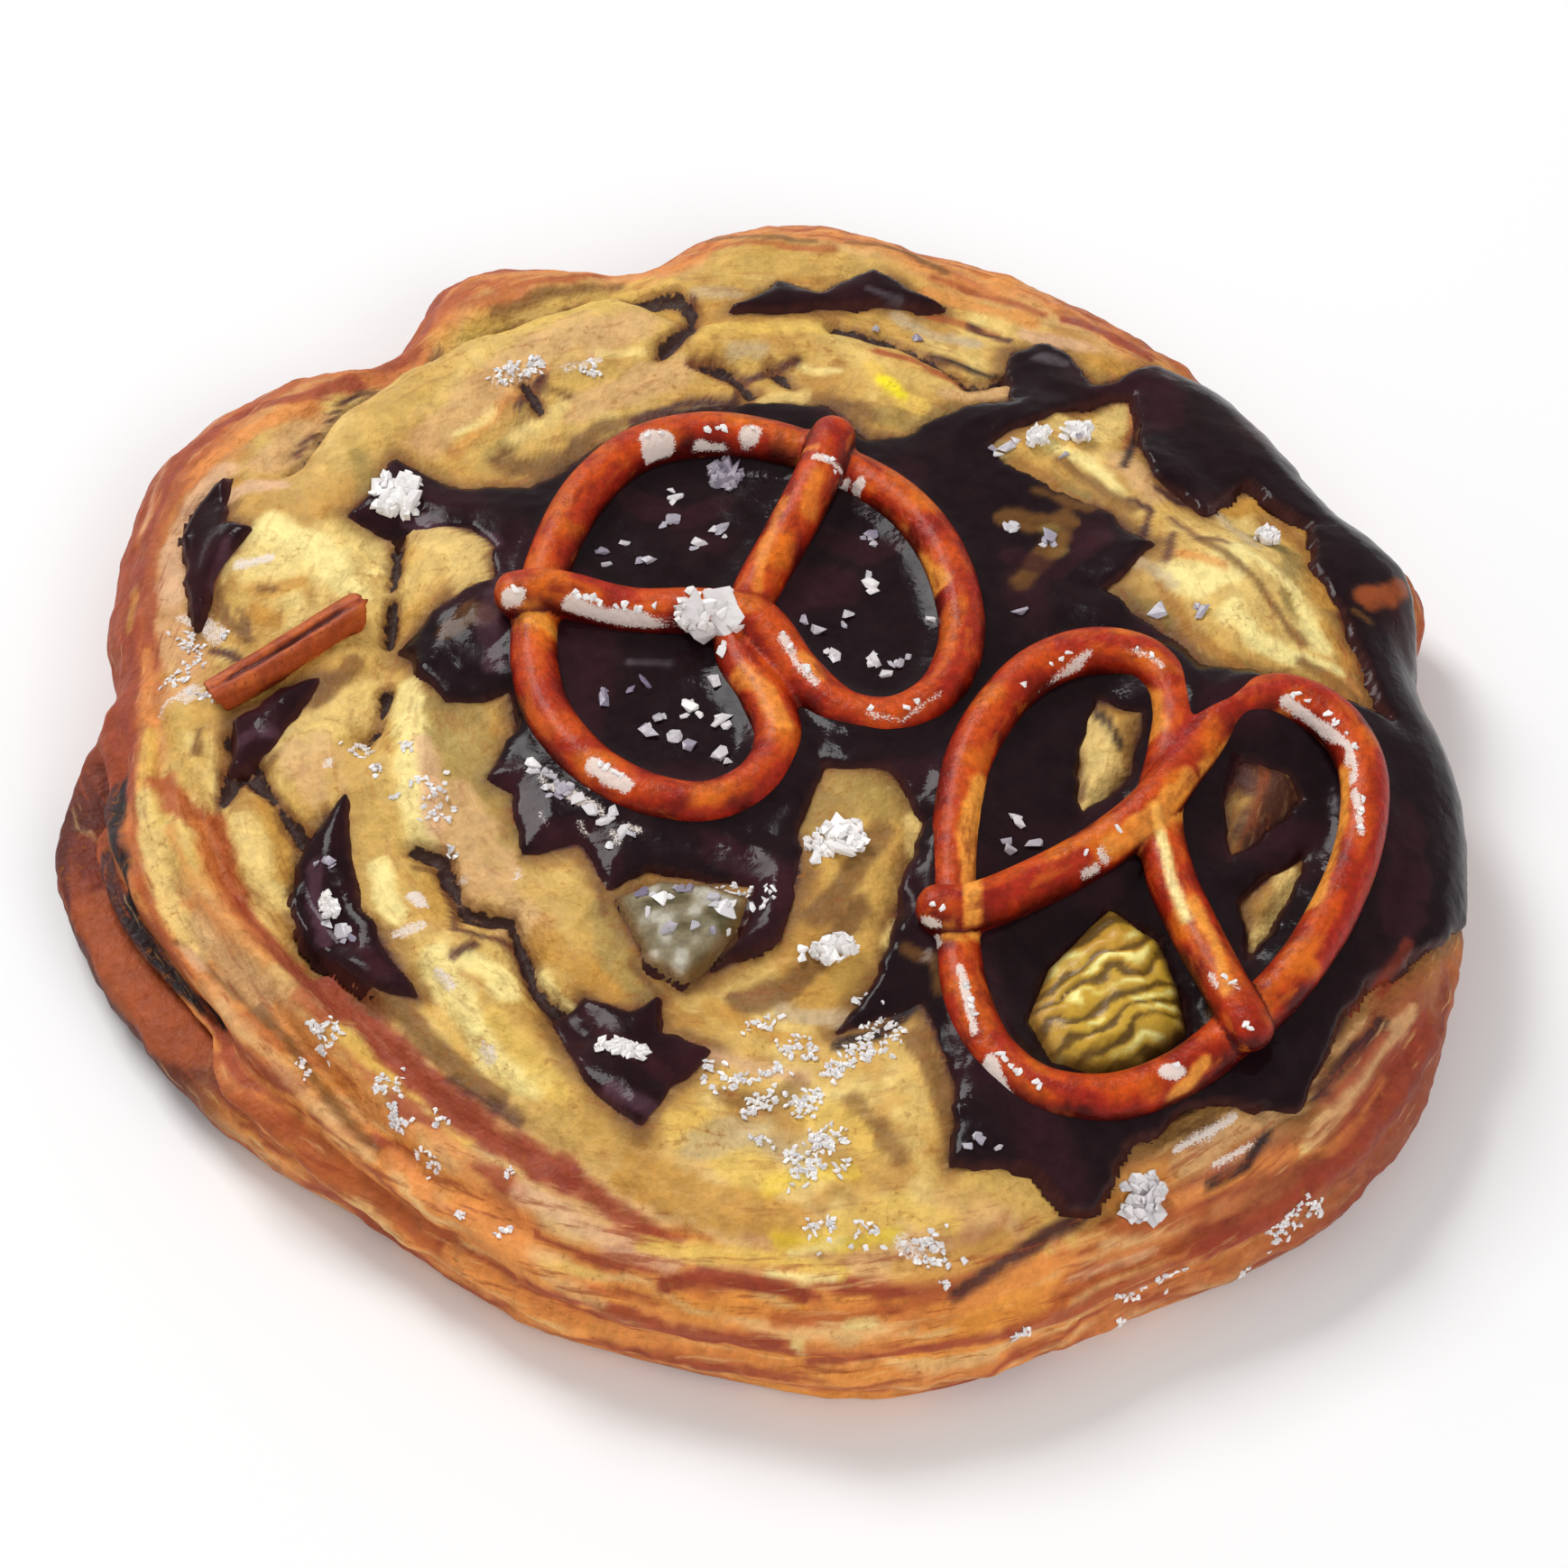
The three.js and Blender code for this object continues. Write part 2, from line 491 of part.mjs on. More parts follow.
// ---------------------------------------------------------------- flakes of salt
// Each lies on its node at [x, y] of the map, or at [x, y, z] on a pretzel: its length, its width
// and how it is turned.
const FLAKES = [
  { on: "chocolate_pool", at: [-29.6, 21.8], length: 5.2, width: 4.2, turn: 100 },
  { on: "pretzel_1", at: [-4.6, 7.4], height: 19.2, length: 5.6, width: 5.2, turn: 85 },
  { on: "dough", at: [4.9, -15], length: 5.4, width: 4.2, turn: 20 },
  { on: "dough", at: [4.6, -25], length: 5, width: 3.2, turn: 15 },
  { on: "dough", at: [27.2, -43.8], length: 4.6, width: 3.8, turn: 60 },
  { on: "chocolate_pool", at: [-3.3, 20.6], length: 3.6, width: 2.8, turn: 80 },
  { on: "chocolate_front", at: [-10.8, -32.6], length: 4, width: 2.2, turn: 10 },
  { on: "dough", at: [21.2, 27.6], length: 2.4, width: 1.6, turn: 50 },
  { on: "dough", at: [24.6, 28.4], length: 2.8, width: 2, turn: 20 },
  { on: "dough", at: [39.4, 18], length: 2.6, width: 1.4, turn: 150 },
];
const FLAKE_RISE = 0.9; // of a flake over what it lies on
const FLAKE_ROOT = 0.9; // of a flake below that
const FLAKE_TOP_RADIUS = 0.36; // of a flake 1 long and 1 wide, whose foot has the radius 0.5
const FLAKE_SIDES = 7;

function flakeSolid({ at, height, length, width, turn }) {
  const tall = FLAKE_RISE + FLAKE_ROOT;
  const flake = new THREE.CylinderGeometry(FLAKE_TOP_RADIUS, 0.5, tall, FLAKE_SIDES).rotateX(Math.PI / 2);
  flake.scale(length, width, 1).rotateZ(THREE.MathUtils.degToRad(turn));
  const [x, y] = at;
  const foot = height === undefined ? skin(x, y, 0.3) : new THREE.Vector3(x, y, height - FLAKE_RISE);
  return solidOf(flake.translate(foot.x, foot.y, foot.z + (FLAKE_RISE - FLAKE_ROOT) / 2));
}

const withFlakes = (name, solid) =>
  FLAKES.filter(({ on }) => on === name).reduce((sum, flake) => sum.add(flakeSolid(flake)), solid);

// ---------------------------------------------------------------- the whole cookie
const group = new THREE.Group();

function addPiece(name, solid, { color, roughness }) {
  const finish = new THREE.MeshStandardMaterial({ color, roughness, metalness: 0 });
  const piece = new THREE.Mesh(geometryOf(solid), finish);
  piece.name = name;
  group.add(piece);
}

const ropes = Object.values(PRETZELS).map((pretzel) => pretzelSolid(pretzel, ROPE_RADIUS + CLEARANCE));
const clearOfRopes = (solid) => ropes.reduce((left, rope) => left.subtract(rope), solid);

// The largest body of a solid, without the crumbs that a cut can leave.
const larger = (one, other) => (other.volume() > one.volume() ? other : one);
const mainBody = (solid) => solid.decompose().reduce(larger);

const stickHollow = stickSolid(STICK.radius + CLEARANCE);
let dough = doughSolid();
for (const hollow of HOLLOWS) dough = dough.subtract(hollowSolid(hollow));
dough = mainBody(withFlakes("dough", clearOfRopes(dough.subtract(stickHollow))));
addPiece("dough", dough, { color: 0xc9903f, roughness: 0.75 });

for (const [name, filling] of Object.entries(FILLINGS)) {
  const solid = mainBody(clearOfRopes(fillingSolid(filling)));
  addPiece(name, withFlakes(name, solid), { color: filling.colour, roughness: 0.3 });
}
for (const [name, pretzel] of Object.entries(PRETZELS)) {
  addPiece(name, withFlakes(name, pretzelSolid(pretzel, ROPE_RADIUS)), { color: 0xc2501d, roughness: 0.35 });
}
addPiece("pretzel_stick", stickSolid(STICK.radius), { color: 0xa8481f, roughness: 0.5 });

// The middle of the cookie's box comes over the origin.
const box = new THREE.Box3().setFromObject(group);
group.position.set(-(box.min.x + box.max.x) / 2, -(box.min.y + box.max.y) / 2, 0);

export default group;
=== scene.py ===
# %% [markdown]
# # A chocolate pretzel cookie
# The real thing is a big soft cookie, baked once with chocolate and two small pretzels on its top.
# Its dough spreads in the oven, browns at the rim, splits into folds and creases, and the chocolate
# melts into the hollows. We build it in that order: the skin of the dough, its colours, the
# chocolate, the lumps that show through, the pretzels, and last the salt. Every size is in
# millimetres, and one helper turns a mesh into the metres that Blender's frame uses.

# %% Open the frame
import math

import bmesh
import bpy
import numpy as np
from mathutils import Matrix, Vector
from mathutils.bvhtree import BVHTree


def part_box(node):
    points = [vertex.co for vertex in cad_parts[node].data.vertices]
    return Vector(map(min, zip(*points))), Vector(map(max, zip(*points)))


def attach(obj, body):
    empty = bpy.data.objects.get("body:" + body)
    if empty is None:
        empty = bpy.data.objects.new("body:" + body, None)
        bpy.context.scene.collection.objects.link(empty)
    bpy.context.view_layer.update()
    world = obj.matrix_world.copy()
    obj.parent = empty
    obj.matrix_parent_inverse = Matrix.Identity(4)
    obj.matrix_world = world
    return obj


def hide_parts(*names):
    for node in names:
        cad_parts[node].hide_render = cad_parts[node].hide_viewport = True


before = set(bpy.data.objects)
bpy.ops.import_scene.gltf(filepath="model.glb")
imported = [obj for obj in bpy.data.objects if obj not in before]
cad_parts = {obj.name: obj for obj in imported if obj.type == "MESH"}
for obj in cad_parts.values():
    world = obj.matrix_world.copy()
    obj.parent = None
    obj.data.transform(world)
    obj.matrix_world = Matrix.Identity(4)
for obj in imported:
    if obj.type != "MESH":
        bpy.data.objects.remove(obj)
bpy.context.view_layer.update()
MM = 0.001
print("solids to dress:", ", ".join(sorted(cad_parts)))

# %% [markdown]
# ## The outline of the cookie
# A hand-shaped ball of dough never bakes to a circle. We could trace an outline point by point, but
# a round with a few swells and pinches is closer to what happens in the oven, and it stays smooth.
# Each lobe has a direction in degrees, how far it moves the edge, and its half width in degrees.

# %% The outline and the side
BASE_RADIUS = 53.5
RIM_WIDTH = 11.0
BACK_FULLNESS = 2.5  # how much narrower, and so steeper, the rim is at the back
BACK = (100, 50)  # where that is, and its half width, in degrees
RIM_RISE = 8.0
WIDEST_HEIGHT = 5.0
FOOT_INSET = 3.0
FOOT_LENGTH = 6.4
DOME_RISE = 3.6
DOME_POWER = 1.25
EDGE_LOBES = [
    (8, -2.3, 7), (20, 2.6, 6), (67, 4.3, 20), (89, 5.9, 10), (102, -1.6, 4), (116, 5.7, 14),
    (127, -5.1, 6), (144, 6.7, 20), (171, -1.6, 5), (189, 3.6, 13), (233, -2.7, 14), (280, 3.1, 14),
    (321, 5.3, 24),
]


def bell(distance, width):
    return np.exp(-((distance / width) ** 2))


def smooth(value, low, high):
    share = np.clip((value - low) / (high - low), 0, 1)
    return share * share * (3 - 2 * share)


def turn_between(a, b):
    return (a - b + 540) % 360 - 180


def direction_of(x, y):
    return np.degrees(np.arctan2(y, x)) % 360


def edge_radius(direction):
    lobes = [out * bell(turn_between(direction, at), wide) for at, out, wide in EDGE_LOBES]
    return BASE_RADIUS + sum(lobes)


def rim_width(direction):
    return RIM_WIDTH - BACK_FULLNESS * bell(turn_between(direction, BACK[0]), BACK[1])


def shoulder_length(direction):
    return math.pi / 2 * np.hypot(rim_width(direction), RIM_RISE) * math.sqrt(0.5)


def flat_radius(direction):
    return edge_radius(direction) - rim_width(direction)


def skin_reach(direction):
    return flat_radius(direction) + shoulder_length(direction) + FOOT_LENGTH


around = np.arange(0.0, 360.0)
print(f"the edge lies {edge_radius(around).min():.1f} to {edge_radius(around).max():.1f} mm out")

# %% [markdown]
# ## A flat map of the skin
# Folds, creases and pools run over the top and down the side. To draw them in one go we peel the
# skin off and lay it flat: a place on the map is its distance along the skin from the middle, and
# its direction. The functions below wrap the map back onto the cookie. A UV map with a painted
# picture would do the same for colour, but here the map also shapes the mesh.


# %% From the map to the cookie
def bare_skin(x, y):
    along = np.hypot(x, y)
    angle = np.arctan2(y, x)
    direction = direction_of(x, y)
    flat = flat_radius(direction)
    shoulder = shoulder_length(direction)
    over = np.clip((along - flat) / shoulder, 0, 1) * math.pi / 2
    under = np.clip((along - flat - shoulder) / FOOT_LENGTH, 0, 1) * math.pi / 2
    out = np.where(
        along <= flat,
        along,
        flat + rim_width(direction) * np.sin(over) - FOOT_INSET * (1 - np.cos(under)),
    )
    dome = DOME_RISE * (1 - np.clip(along / flat, 0, 1) ** 2) ** DOME_POWER
    up = np.where(
        along <= flat,
        WIDEST_HEIGHT + RIM_RISE + dome,
        WIDEST_HEIGHT * (1 - np.sin(under)) + RIM_RISE * np.cos(over),
    )
    return np.stack([out * np.cos(angle), out * np.sin(angle), up], -1)


def skin_normal(x, y, step=0.6):
    across = bare_skin(x + step, y) - bare_skin(x - step, y)
    along = bare_skin(x, y + step) - bare_skin(x, y - step)
    normal = np.cross(across, along)
    return normal / np.linalg.norm(normal, axis=-1, keepdims=True)


# %% [markdown]
# ## Uneven on purpose
# Dough, melted chocolate and baked crust are never even. A small table of random numbers, read with
# soft steps between its cells, gives hills of any width; a few layers of it, each half as wide and
# half as high, give the mixed roughness of food. The tables are seeded, so every run is the same.

# %% Soft random hills
CELLS = 60
TABLE = np.random.default_rng(7).random((CELLS, CELLS))
TABLE_START = 5.7  # cells of the table before the middle of the cookie, along y
ROUGH_SPAN = 1.6


def hills(x, y, width, repeat=CELLS):
    """Random values from 0 to 1 that change over about the given width, in mm.

    They start again after the given number of cells along x, so that a band closes round the rim."""
    a, b = np.asarray(x) / width, np.asarray(y) / width + TABLE_START
    i, j = np.floor(a).astype(int), np.floor(b).astype(int)
    s, t = smooth(a - i, 0, 1), smooth(b - j, 0, 1)
    corner = [[TABLE[(i + m) % repeat, (j + n) % CELLS] for n in (0, 1)] for m in (0, 1)]
    return (corner[0][0] * (1 - s) + corner[1][0] * s) * (1 - t) + (
        corner[0][1] * (1 - s) + corner[1][1] * s
    ) * t


def rough(x, y, width, layers=3):
    """Hills of several widths at once, from about -1 to 1."""
    parts = [hills(x + 31 * k + 97, y - 19 * k, width / 2**k) - 0.5 for k in range(layers)]
    total = sum(part / 2**k for k, part in enumerate(parts))
    return total * ROUGH_SPAN


def distance_to_line(x, y, line):
    """The distance from every map point to a line of straight stretches."""
    nearest = np.full(np.shape(x), 1e9)
    for (ax, ay), (bx, by) in zip(line[:-1], line[1:]):
        dx, dy = bx - ax, by - ay
        share = np.clip(((x - ax) * dx + (y - ay) * dy) / (dx * dx + dy * dy), 0, 1)
        nearest = np.minimum(nearest, np.hypot(x - ax - share * dx, y - ay - share * dy))
    return nearest


# %% [markdown]
# ## Where the fillings lie
# The chocolate, and the two lumps that show through it, are outlines on the map. We need them before
# the dough, because the dough sinks a little under them and is painted with shade beside them. How
# deep a place lies inside an outline tells us everything: positive inside, negative outside.

# %% Outlines on the map
POOL = [
    (-30, 25.8), (-24.8, 23), (-19.5, 23.2), (-10.8, 30.2), (-6, 32), (4.8, 32.2), (7.8, 28.3),
    (10.8, 28.6), (15.2, 32), (19.2, 33), (19.6, 39.6), (23, 41), (26.2, 36), (31.4, 38.8),
    (36.4, 37.4), (40.6, 33.1), (45.5, 23.1), (50.4, 18), (53, 11), (54.6, 3), (55.4, -8),
    (54.4, -16), (44.1, -25), (38.4, -36.2), (32.2, -35.8), (25.6, -40.1), (23.5, -44.6),
    (21.5, -45.2), (18.8, -42.4), (13.2, -42.8), (13.4, -36), (11.2, -28.7), (5, -31.3),
    (8.3, -26.6), (9, -22.5), (11.8, -12.6), (9.2, -8), (3.8, -7.2), (2, -13.3), (2.2, -18),
    (0.6, -23.8), (-4.6, -25.6), (-1.5, -22.5), (-1, -18.6), (-9.2, -16.3), (-12.2, -18.2),
    (-14.4, -14.1), (-18.7, -14.8), (-19.8, -9), (-21.9, -7.7), (-19.6, -3), (-20.3, 1.3),
    (-25.1, 0), (-29.2, 6.8), (-25.8, 10), (-21.6, 12.5), (-21.9, 16), (-24, 18), (-30.5, 18.6),
    (-33.4, 20),
]
YELLOW_LUMP = [
    (25.6, -19.4), (29.2, -22.3), (30.5, -26.6), (31, -30), (27.7, -33.2), (24.1, -34),
    (20.8, -33.2), (19.2, -29.5), (20.9, -24.7),
]
GREY_LUMP = [
    (-11.6, -19.4), (-8.3, -18), (-4.7, -18.4), (-1.8, -20.2), (-2.4, -22.4), (-4.6, -25.2),
    (-6.6, -26.8), (-9.1, -25.3),
]
BIG_ISLAND = [
    (17.3, 27.5), (24.8, 33.2), (29.5, 35.2), (30.2, 23.9), (34.2, 20.6), (38, 25.4),
    (42.6, 20.4), (43.6, 12.2), (47.2, 0.8), (39.3, 1.4), (32.7, 1.4), (31.2, 5), (26, 11),
    (29.6, 15.2), (26.9, 19.6), (18.3, 24.9),
]
SMALL_ISLANDS = [
    [(25.2, -0.6), (28.4, -2.2), (27.4, -7.6), (23.3, -11.8), (23.2, -5.2)],
    [(35.6, -6.4), (39.6, -6.6), (40.6, -8.8), (37.2, -13), (34.6, -15), (34.4, -10)],
    [(40.8, -13.2), (40.6, -15.4), (36, -23.6), (35.2, -18.4)],
]
POOL_GAPS = [BIG_ISLAND, *SMALL_ISLANDS]
CHUNKS = {
    "chocolate_left": [
        (-32.5, -8.5), (-34.8, -11.8), (-35.9, -14.2), (-36.3, -17.5), (-35.2, -21),
        (-33.2, -23.6), (-30.3, -26.1), (-26.3, -27.4), (-29.4, -22), (-31, -18.5), (-32.2, -14.3),
    ],
    "chocolate_front": [
        (-13.9, -27.9), (-16, -29.5), (-15, -32.6), (-13.4, -35.8), (-9.5, -40), (-7.5, -36.5),
        (-4.5, -33.1), (-8.4, -31.3), (-8.4, -28.2), (-10.4, -29.5),
    ],
    "chocolate_rim": [
        (-43.9, 25.4), (-45.9, 23.8), (-46.7, 20.1), (-46.4, 16.3), (-45.4, 11), (-44.2, 15),
        (-41.2, 18.6), (-43.6, 20.2),
    ],
    "chocolate_streak": [(-35.4, 3.6), (-38, 2.6), (-41.6, 0), (-41.6, -4.2), (-38.6, -3.4)],
    "chocolate_back": [
        (-3, 43.6), (0.4, 47.6), (4, 46.2), (8.4, 49.4), (13.9, 45.2), (7, 45.4), (3, 44),
    ],
}


def is_within(x, y, outline):
    """Counts how often a line from each point crosses the outline: an odd number is inside."""
    inside = np.zeros(np.shape(x), bool)
    for (ax, ay), (bx, by) in zip(outline, outline[1:] + outline[:1]):
        if ay != by:
            crosses = (ay > y) != (by > y)
            inside ^= crosses & (x < (bx - ax) * (y - ay) / (by - ay) + ax)
    return inside


def depth_within(x, y, outline, gaps=()):
    """How deep each point lies inside an outline less its gaps, in mm; negative outside."""
    borders = [[*corners, corners[0]] for corners in (outline, *gaps)]
    nearest = np.minimum.reduce([distance_to_line(x, y, border) for border in borders])
    inside = is_within(x, y, outline)
    for gap in gaps:
        inside &= ~is_within(x, y, gap)
    return np.where(inside, nearest, -nearest)


def filling_depth(x, y):
    """How deep each point lies inside any chocolate or lump."""
    parts = [depth_within(x, y, POOL, POOL_GAPS), depth_within(x, y, GREY_LUMP)]
    parts += [depth_within(x, y, outline) for outline in CHUNKS.values()]
    return np.maximum.reduce(parts)


# %% [markdown]
# ## The relief of the dough
# Three things shape the skin. Broad folds rise and sink along lines. The lower rim spreads in
# ripples, and at the left its bottom layer slides out below a crack. Fine creases split the skin
# where it bent most. Folds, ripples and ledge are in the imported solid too, with the same numbers, so
# the dressed cookie keeps its form; the creases and the crumb are only drawn here.

# %% Folds, ripples and the ledge
FOLDS = [
    # The fold at the back left, and the crease behind it.
    (2.2, 5.5, [(-35.5, 26), (-30, 33), (-23, 38.5), (-14, 42.5), (-9, 42.5)]),
    (-1.8, 2, [(-39, 27), (-36.5, 33), (-31, 39), (-26, 42.5), (-13, 47.5), (-6.5, 43)]),
    # The pale lobe at the left, and the hollow behind it.
    (1.6, 5.5, [(-41, 19), (-37, 15)]),
    (-1.4, 1.9, [(-45, 23), (-46, 16), (-45, 9)]),
    # The pinch that the left creases leave, and the pale ridges below it.
    (-1.5, 2.2, [(-31, 18), (-30, 11), (-30, 4), (-31, -3)]),
    (1.0, 2.6, [(-28, 3), (-27, -6), (-26, -13)]),
    (1.3, 3.2, [(-25, -20), (-21, -28), (-15, -36), (-7, -40)]),
    (-1.2, 1.9, [(-26, -14), (-23.5, -20), (-19, -21), (-17, -28), (-14, -31)]),
    (1.0, 2.4, [(-39, -9), (-38, -15)]),
    (-1.2, 1.8, [(-42, -3), (-38, -8), (-36, -15), (-33, -22)]),
    # The dough between the pretzels.
    (1.4, 5, [(6, -9), (6, -16), (3, -23)]),
    (-0.9, 2.6, [(9, -30), (3, -29.5), (-5, -27)]),
    # The back.
    (1.2, 4.5, [(-6, 37), (3, 40), (11, 36)]),
    (-1.0, 1.9, [(-8, 38), (-4, 36), (3, 37)]),
    # The lump that the second pretzel leans on, and its neighbours.
    (3.9, 8.5, [(34, 12), (37, 5), (35, 0)]),
    (1.9, 5, [(22, 28), (28, 25)]),
    (1.0, 4, [(-25, 15), (-25, 13)]),
    (0.8, 9, [(-2, -43), (10, -40)]),
    # The bowls that the two pretzels lie in.
    (-1.4, 15, [(-6, 14), (3, 8), (-5, 0)]),
    (-1.4, 10, [(22, -24), (27, -30)]),
]
VALLEY = [(170, 49), (181, 47), (196, 44), (221, 41.5), (242, 44), (263, 48.4), (290, 51), (330, 52)]
RIPPLE_SPACING = 4.6
RIPPLE_HEIGHT = 0.85
RIPPLES_GROW = (172, 190)  # degrees
RIPPLES_FADE = (318, 350)
LEDGE = {"from": 174, "to": 219, "ramp": 9, "setback": 3.4, "crack": 2.2, "below": 13}


def valley_distance(direction):
    at, near = np.array(VALLEY, float).T
    step = np.clip(np.searchsorted(at, direction) - 1, 0, len(at) - 2)
    return near[step] + (near[step + 1] - near[step]) * smooth(direction, at[step], at[step + 1])


def ripple(along, direction):
    reach = smooth(direction, *RIPPLES_GROW) * (1 - smooth(direction, *RIPPLES_FADE))
    strength = 0.45 + 0.55 * bell(turn_between(direction, 215), 32)
    past = along - valley_distance(direction)
    rim = smooth(past, -4, 0) * (1 - smooth(past, 11, 16))
    return -RIPPLE_HEIGHT * reach * strength * rim * np.cos(2 * math.pi * past / RIPPLE_SPACING)


def ledge(along, direction):
    ramp = LEDGE["ramp"]
    reach = smooth(direction, LEDGE["from"], LEDGE["from"] + ramp)
    reach = reach * (1 - smooth(direction, LEDGE["to"] - ramp, LEDGE["to"]))
    flat = flat_radius(direction)
    crack = flat + LEDGE["below"]
    above = smooth(along, flat, crack - 3) * (1 - smooth(along, crack - 0.6, crack + 1.8))
    return -reach * (LEDGE["setback"] * above + LEDGE["crack"] * bell(along - crack, 1.6))


def foot_fade(x, y):
    """1 on the skin, and 0 at the edge that meets the table, which stays in its place."""
    last = skin_reach(direction_of(x, y))
    return 1 - smooth(np.hypot(x, y), last - 5, last - 0.5)


def main_relief(x, y):
    along, direction = np.hypot(x, y), direction_of(x, y)
    folds = sum(rise * bell(distance_to_line(x, y, line), wide) for rise, wide, line in FOLDS)
    return (folds + ripple(along, direction) + ledge(along, direction)) * foot_fade(x, y)


# %% [markdown]
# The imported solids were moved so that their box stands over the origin. The map keeps its own
# middle, so we measure that move once: the folded skin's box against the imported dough's.

# %% How far the map's middle lies from the origin
turn, out = np.meshgrid(np.radians(np.arange(0, 360, 0.5)), np.linspace(0.7, 1, 60))
reach = out * skin_reach(np.degrees(turn))
x, y = reach * np.cos(turn), reach * np.sin(turn)
folded = bare_skin(x, y) + skin_normal(x, y) * main_relief(x, y)[..., None]
folded = folded.reshape(-1, 3)[:, :2]
dough_low, dough_high = (np.array(corner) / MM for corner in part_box("dough"))
SHIFT = (dough_low + dough_high)[:2] / 2 - (folded.min(0) + folded.max(0)) / 2
print("the map's middle lies at", SHIFT.round(2), "mm")

# %% [markdown]
# Creases are drawn one by one, because each one is a place where the real skin tore. Each has a depth,
# a half width, and its line on the map. The torn ones get painted shade on their floors, which comes
# back later as colour. In the lower rim the skin only bent, and there strokes lay painted shade along
# those floors.

# %% Creases
BENDS = [
    (0.9, 0.6, [(-47.5, 1.4), (-44.9, -5.6), (-42.6, -11.5), (-41.4, -15.1), (-35.8, -21.2),
        (-28.4, -28.8), (-21, -35.9), (-14.6, -41.2), (-6.3, -47.1)]),
    (0.7, 0.5, [(-26, -25.4), (-22, -32.7), (-18.7, -36.3)]),
    (0.8, 0.5, [(-47.9, 2.5), (-45.4, -14.9), (-40.4, -21.6), (-35.3, -29.1), (-30.6, -36.3)]),
]
TEARS = [
    (0.9, 0.55, [(-38.3, 26.6), (-36.2, 32.6), (-31, 37.1), (-26.5, 41), (-20.9, 44), (-13.1, 46.5)]),
    (0.7, 0.6, [(-13.1, 46.5), (-8, 46.3), (-6.7, 44.5), (-6.8, 40.5), (-9.5, 37.5)]),
    (0.7, 0.5, [(-42.2, -1.4), (-39.5, -5.6), (-37.3, -9.3), (-35.7, -12.1)]),
    (0.7, 0.5, [(-42, -8.3), (-41.3, -3.1)]),
    (0.9, 0.6, [(-27, -13.8), (-25, -14.7), (-24, -17.5), (-23, -20.1), (-19.6, -20.3),
        (-19.1, -22.2), (-17.6, -27), (-15.1, -29.9)]),
    (1.0, 0.5, [(-29.7, 17.8), (-30.1, 13.6)]),
    (1.0, 0.5, [(-30, 12.1), (-30.2, 7.9)]),
    (0.9, 0.5, [(-30.1, 2.4), (-30.6, -1.1), (-31.4, -2.2)]),
    (0.8, 0.6, [(-6.2, 37.2), (-3.3, 36), (-1.8, 33.6)]),
    (0.6, 0.5, [(-0.4, 37), (1.8, 34.6)]),
    (0.6, 0.5, [(-20.3, 35.3), (-18.8, 32.4)]),
    (0.9, 0.6, [(5.3, 41.6), (9.9, 40.3), (15.9, 35.5), (20, 36.2)]),
]
SINK = 1.2  # of the dough under a filling
ISLAND_RISE = 1.2
DRAWN_IN = 0.5  # of the rim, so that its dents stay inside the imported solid's box


def crease_depth(x, y):
    wander = 0.5 * rough(x, y, 3.0)
    lines = [*BENDS, *TEARS]
    return np.maximum.reduce(
        [depth * bell(distance_to_line(x, y, line) + wander, wide) for depth, wide, line in lines]
    )


def from_tear(x, y):
    """How far the nearest torn crease is, in mm."""
    wander = 0.5 * rough(x, y, 3.0)
    return np.minimum.reduce([abs(distance_to_line(x, y, line) + wander) for _, _, line in TEARS])


def fine_relief(x, y, filling):
    """What the oven adds to the folds: creases, soft dents and crumbs, and the bed of each filling."""
    rim = smooth(np.hypot(x, y), 30, 50)
    dents = 0.45 * rough(x, y, 9.0) + (0.2 + 0.06 * rim) * rough(x, y, 2.6)
    islands = np.maximum.reduce([depth_within(x, y, island) for island in SMALL_ISLANDS])
    rise = ISLAND_RISE * smooth(islands, -0.3, 2.0)
    bed = SINK * smooth(filling, 0.0, 1.6)
    return (dents - DRAWN_IN * rim - crease_depth(x, y) + rise) * foot_fade(x, y) - bed


# %% [markdown]
# ## The dough
# The skin is a sheet of small squares, stretched into a round so that all squares stay about half a
# millimetre wide. A round of rings would crowd its middle with slivers instead. The sheet's border is
# the foot of the cookie, and a few rings close the flat underside, which has baked against a tray.

# %% Meshes
UNDERSIDE_RINGS = 8
UNDERSIDE_BUMPS = 0.25
HUB_HEIGHT = 0.1  # of the middle of the underside
DOUGH_CELLS = 300


def make_mesh(name, points, faces, smooth_faces=True):
    """A mesh object from map-frame points in mm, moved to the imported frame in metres."""
    moved = (np.asarray(points) + [SHIFT[0], SHIFT[1], 0]) * MM
    mesh = bpy.data.meshes.new(name)
    mesh.from_pydata(moved.tolist(), [], [list(map(int, face)) for face in faces])
    mesh.polygons.foreach_set("use_smooth", [smooth_faces] * len(mesh.polygons))
    mesh.update()
    piece = bpy.data.objects.new(name, mesh)
    bpy.context.scene.collection.objects.link(piece)
    return piece


def set_values(piece, name, values):
    """Keeps one number (or one direction) for every vertex, for the material to read."""
    values = np.asarray(values, np.float32)
    kind, field = ("FLOAT", "value") if values.ndim == 1 else ("FLOAT_VECTOR", "vector")
    layer = piece.data.attributes.new(name, kind, "POINT")
    layer.data.foreach_set(field, values.ravel())


def grid_faces(rows, columns):
    corner = np.arange(rows * columns).reshape(rows, columns)
    a, b, c, d = corner[:-1, :-1], corner[1:, :-1], corner[1:, 1:], corner[:-1, 1:]
    return np.stack([a, b, c, d], -1).reshape(-1, 4)


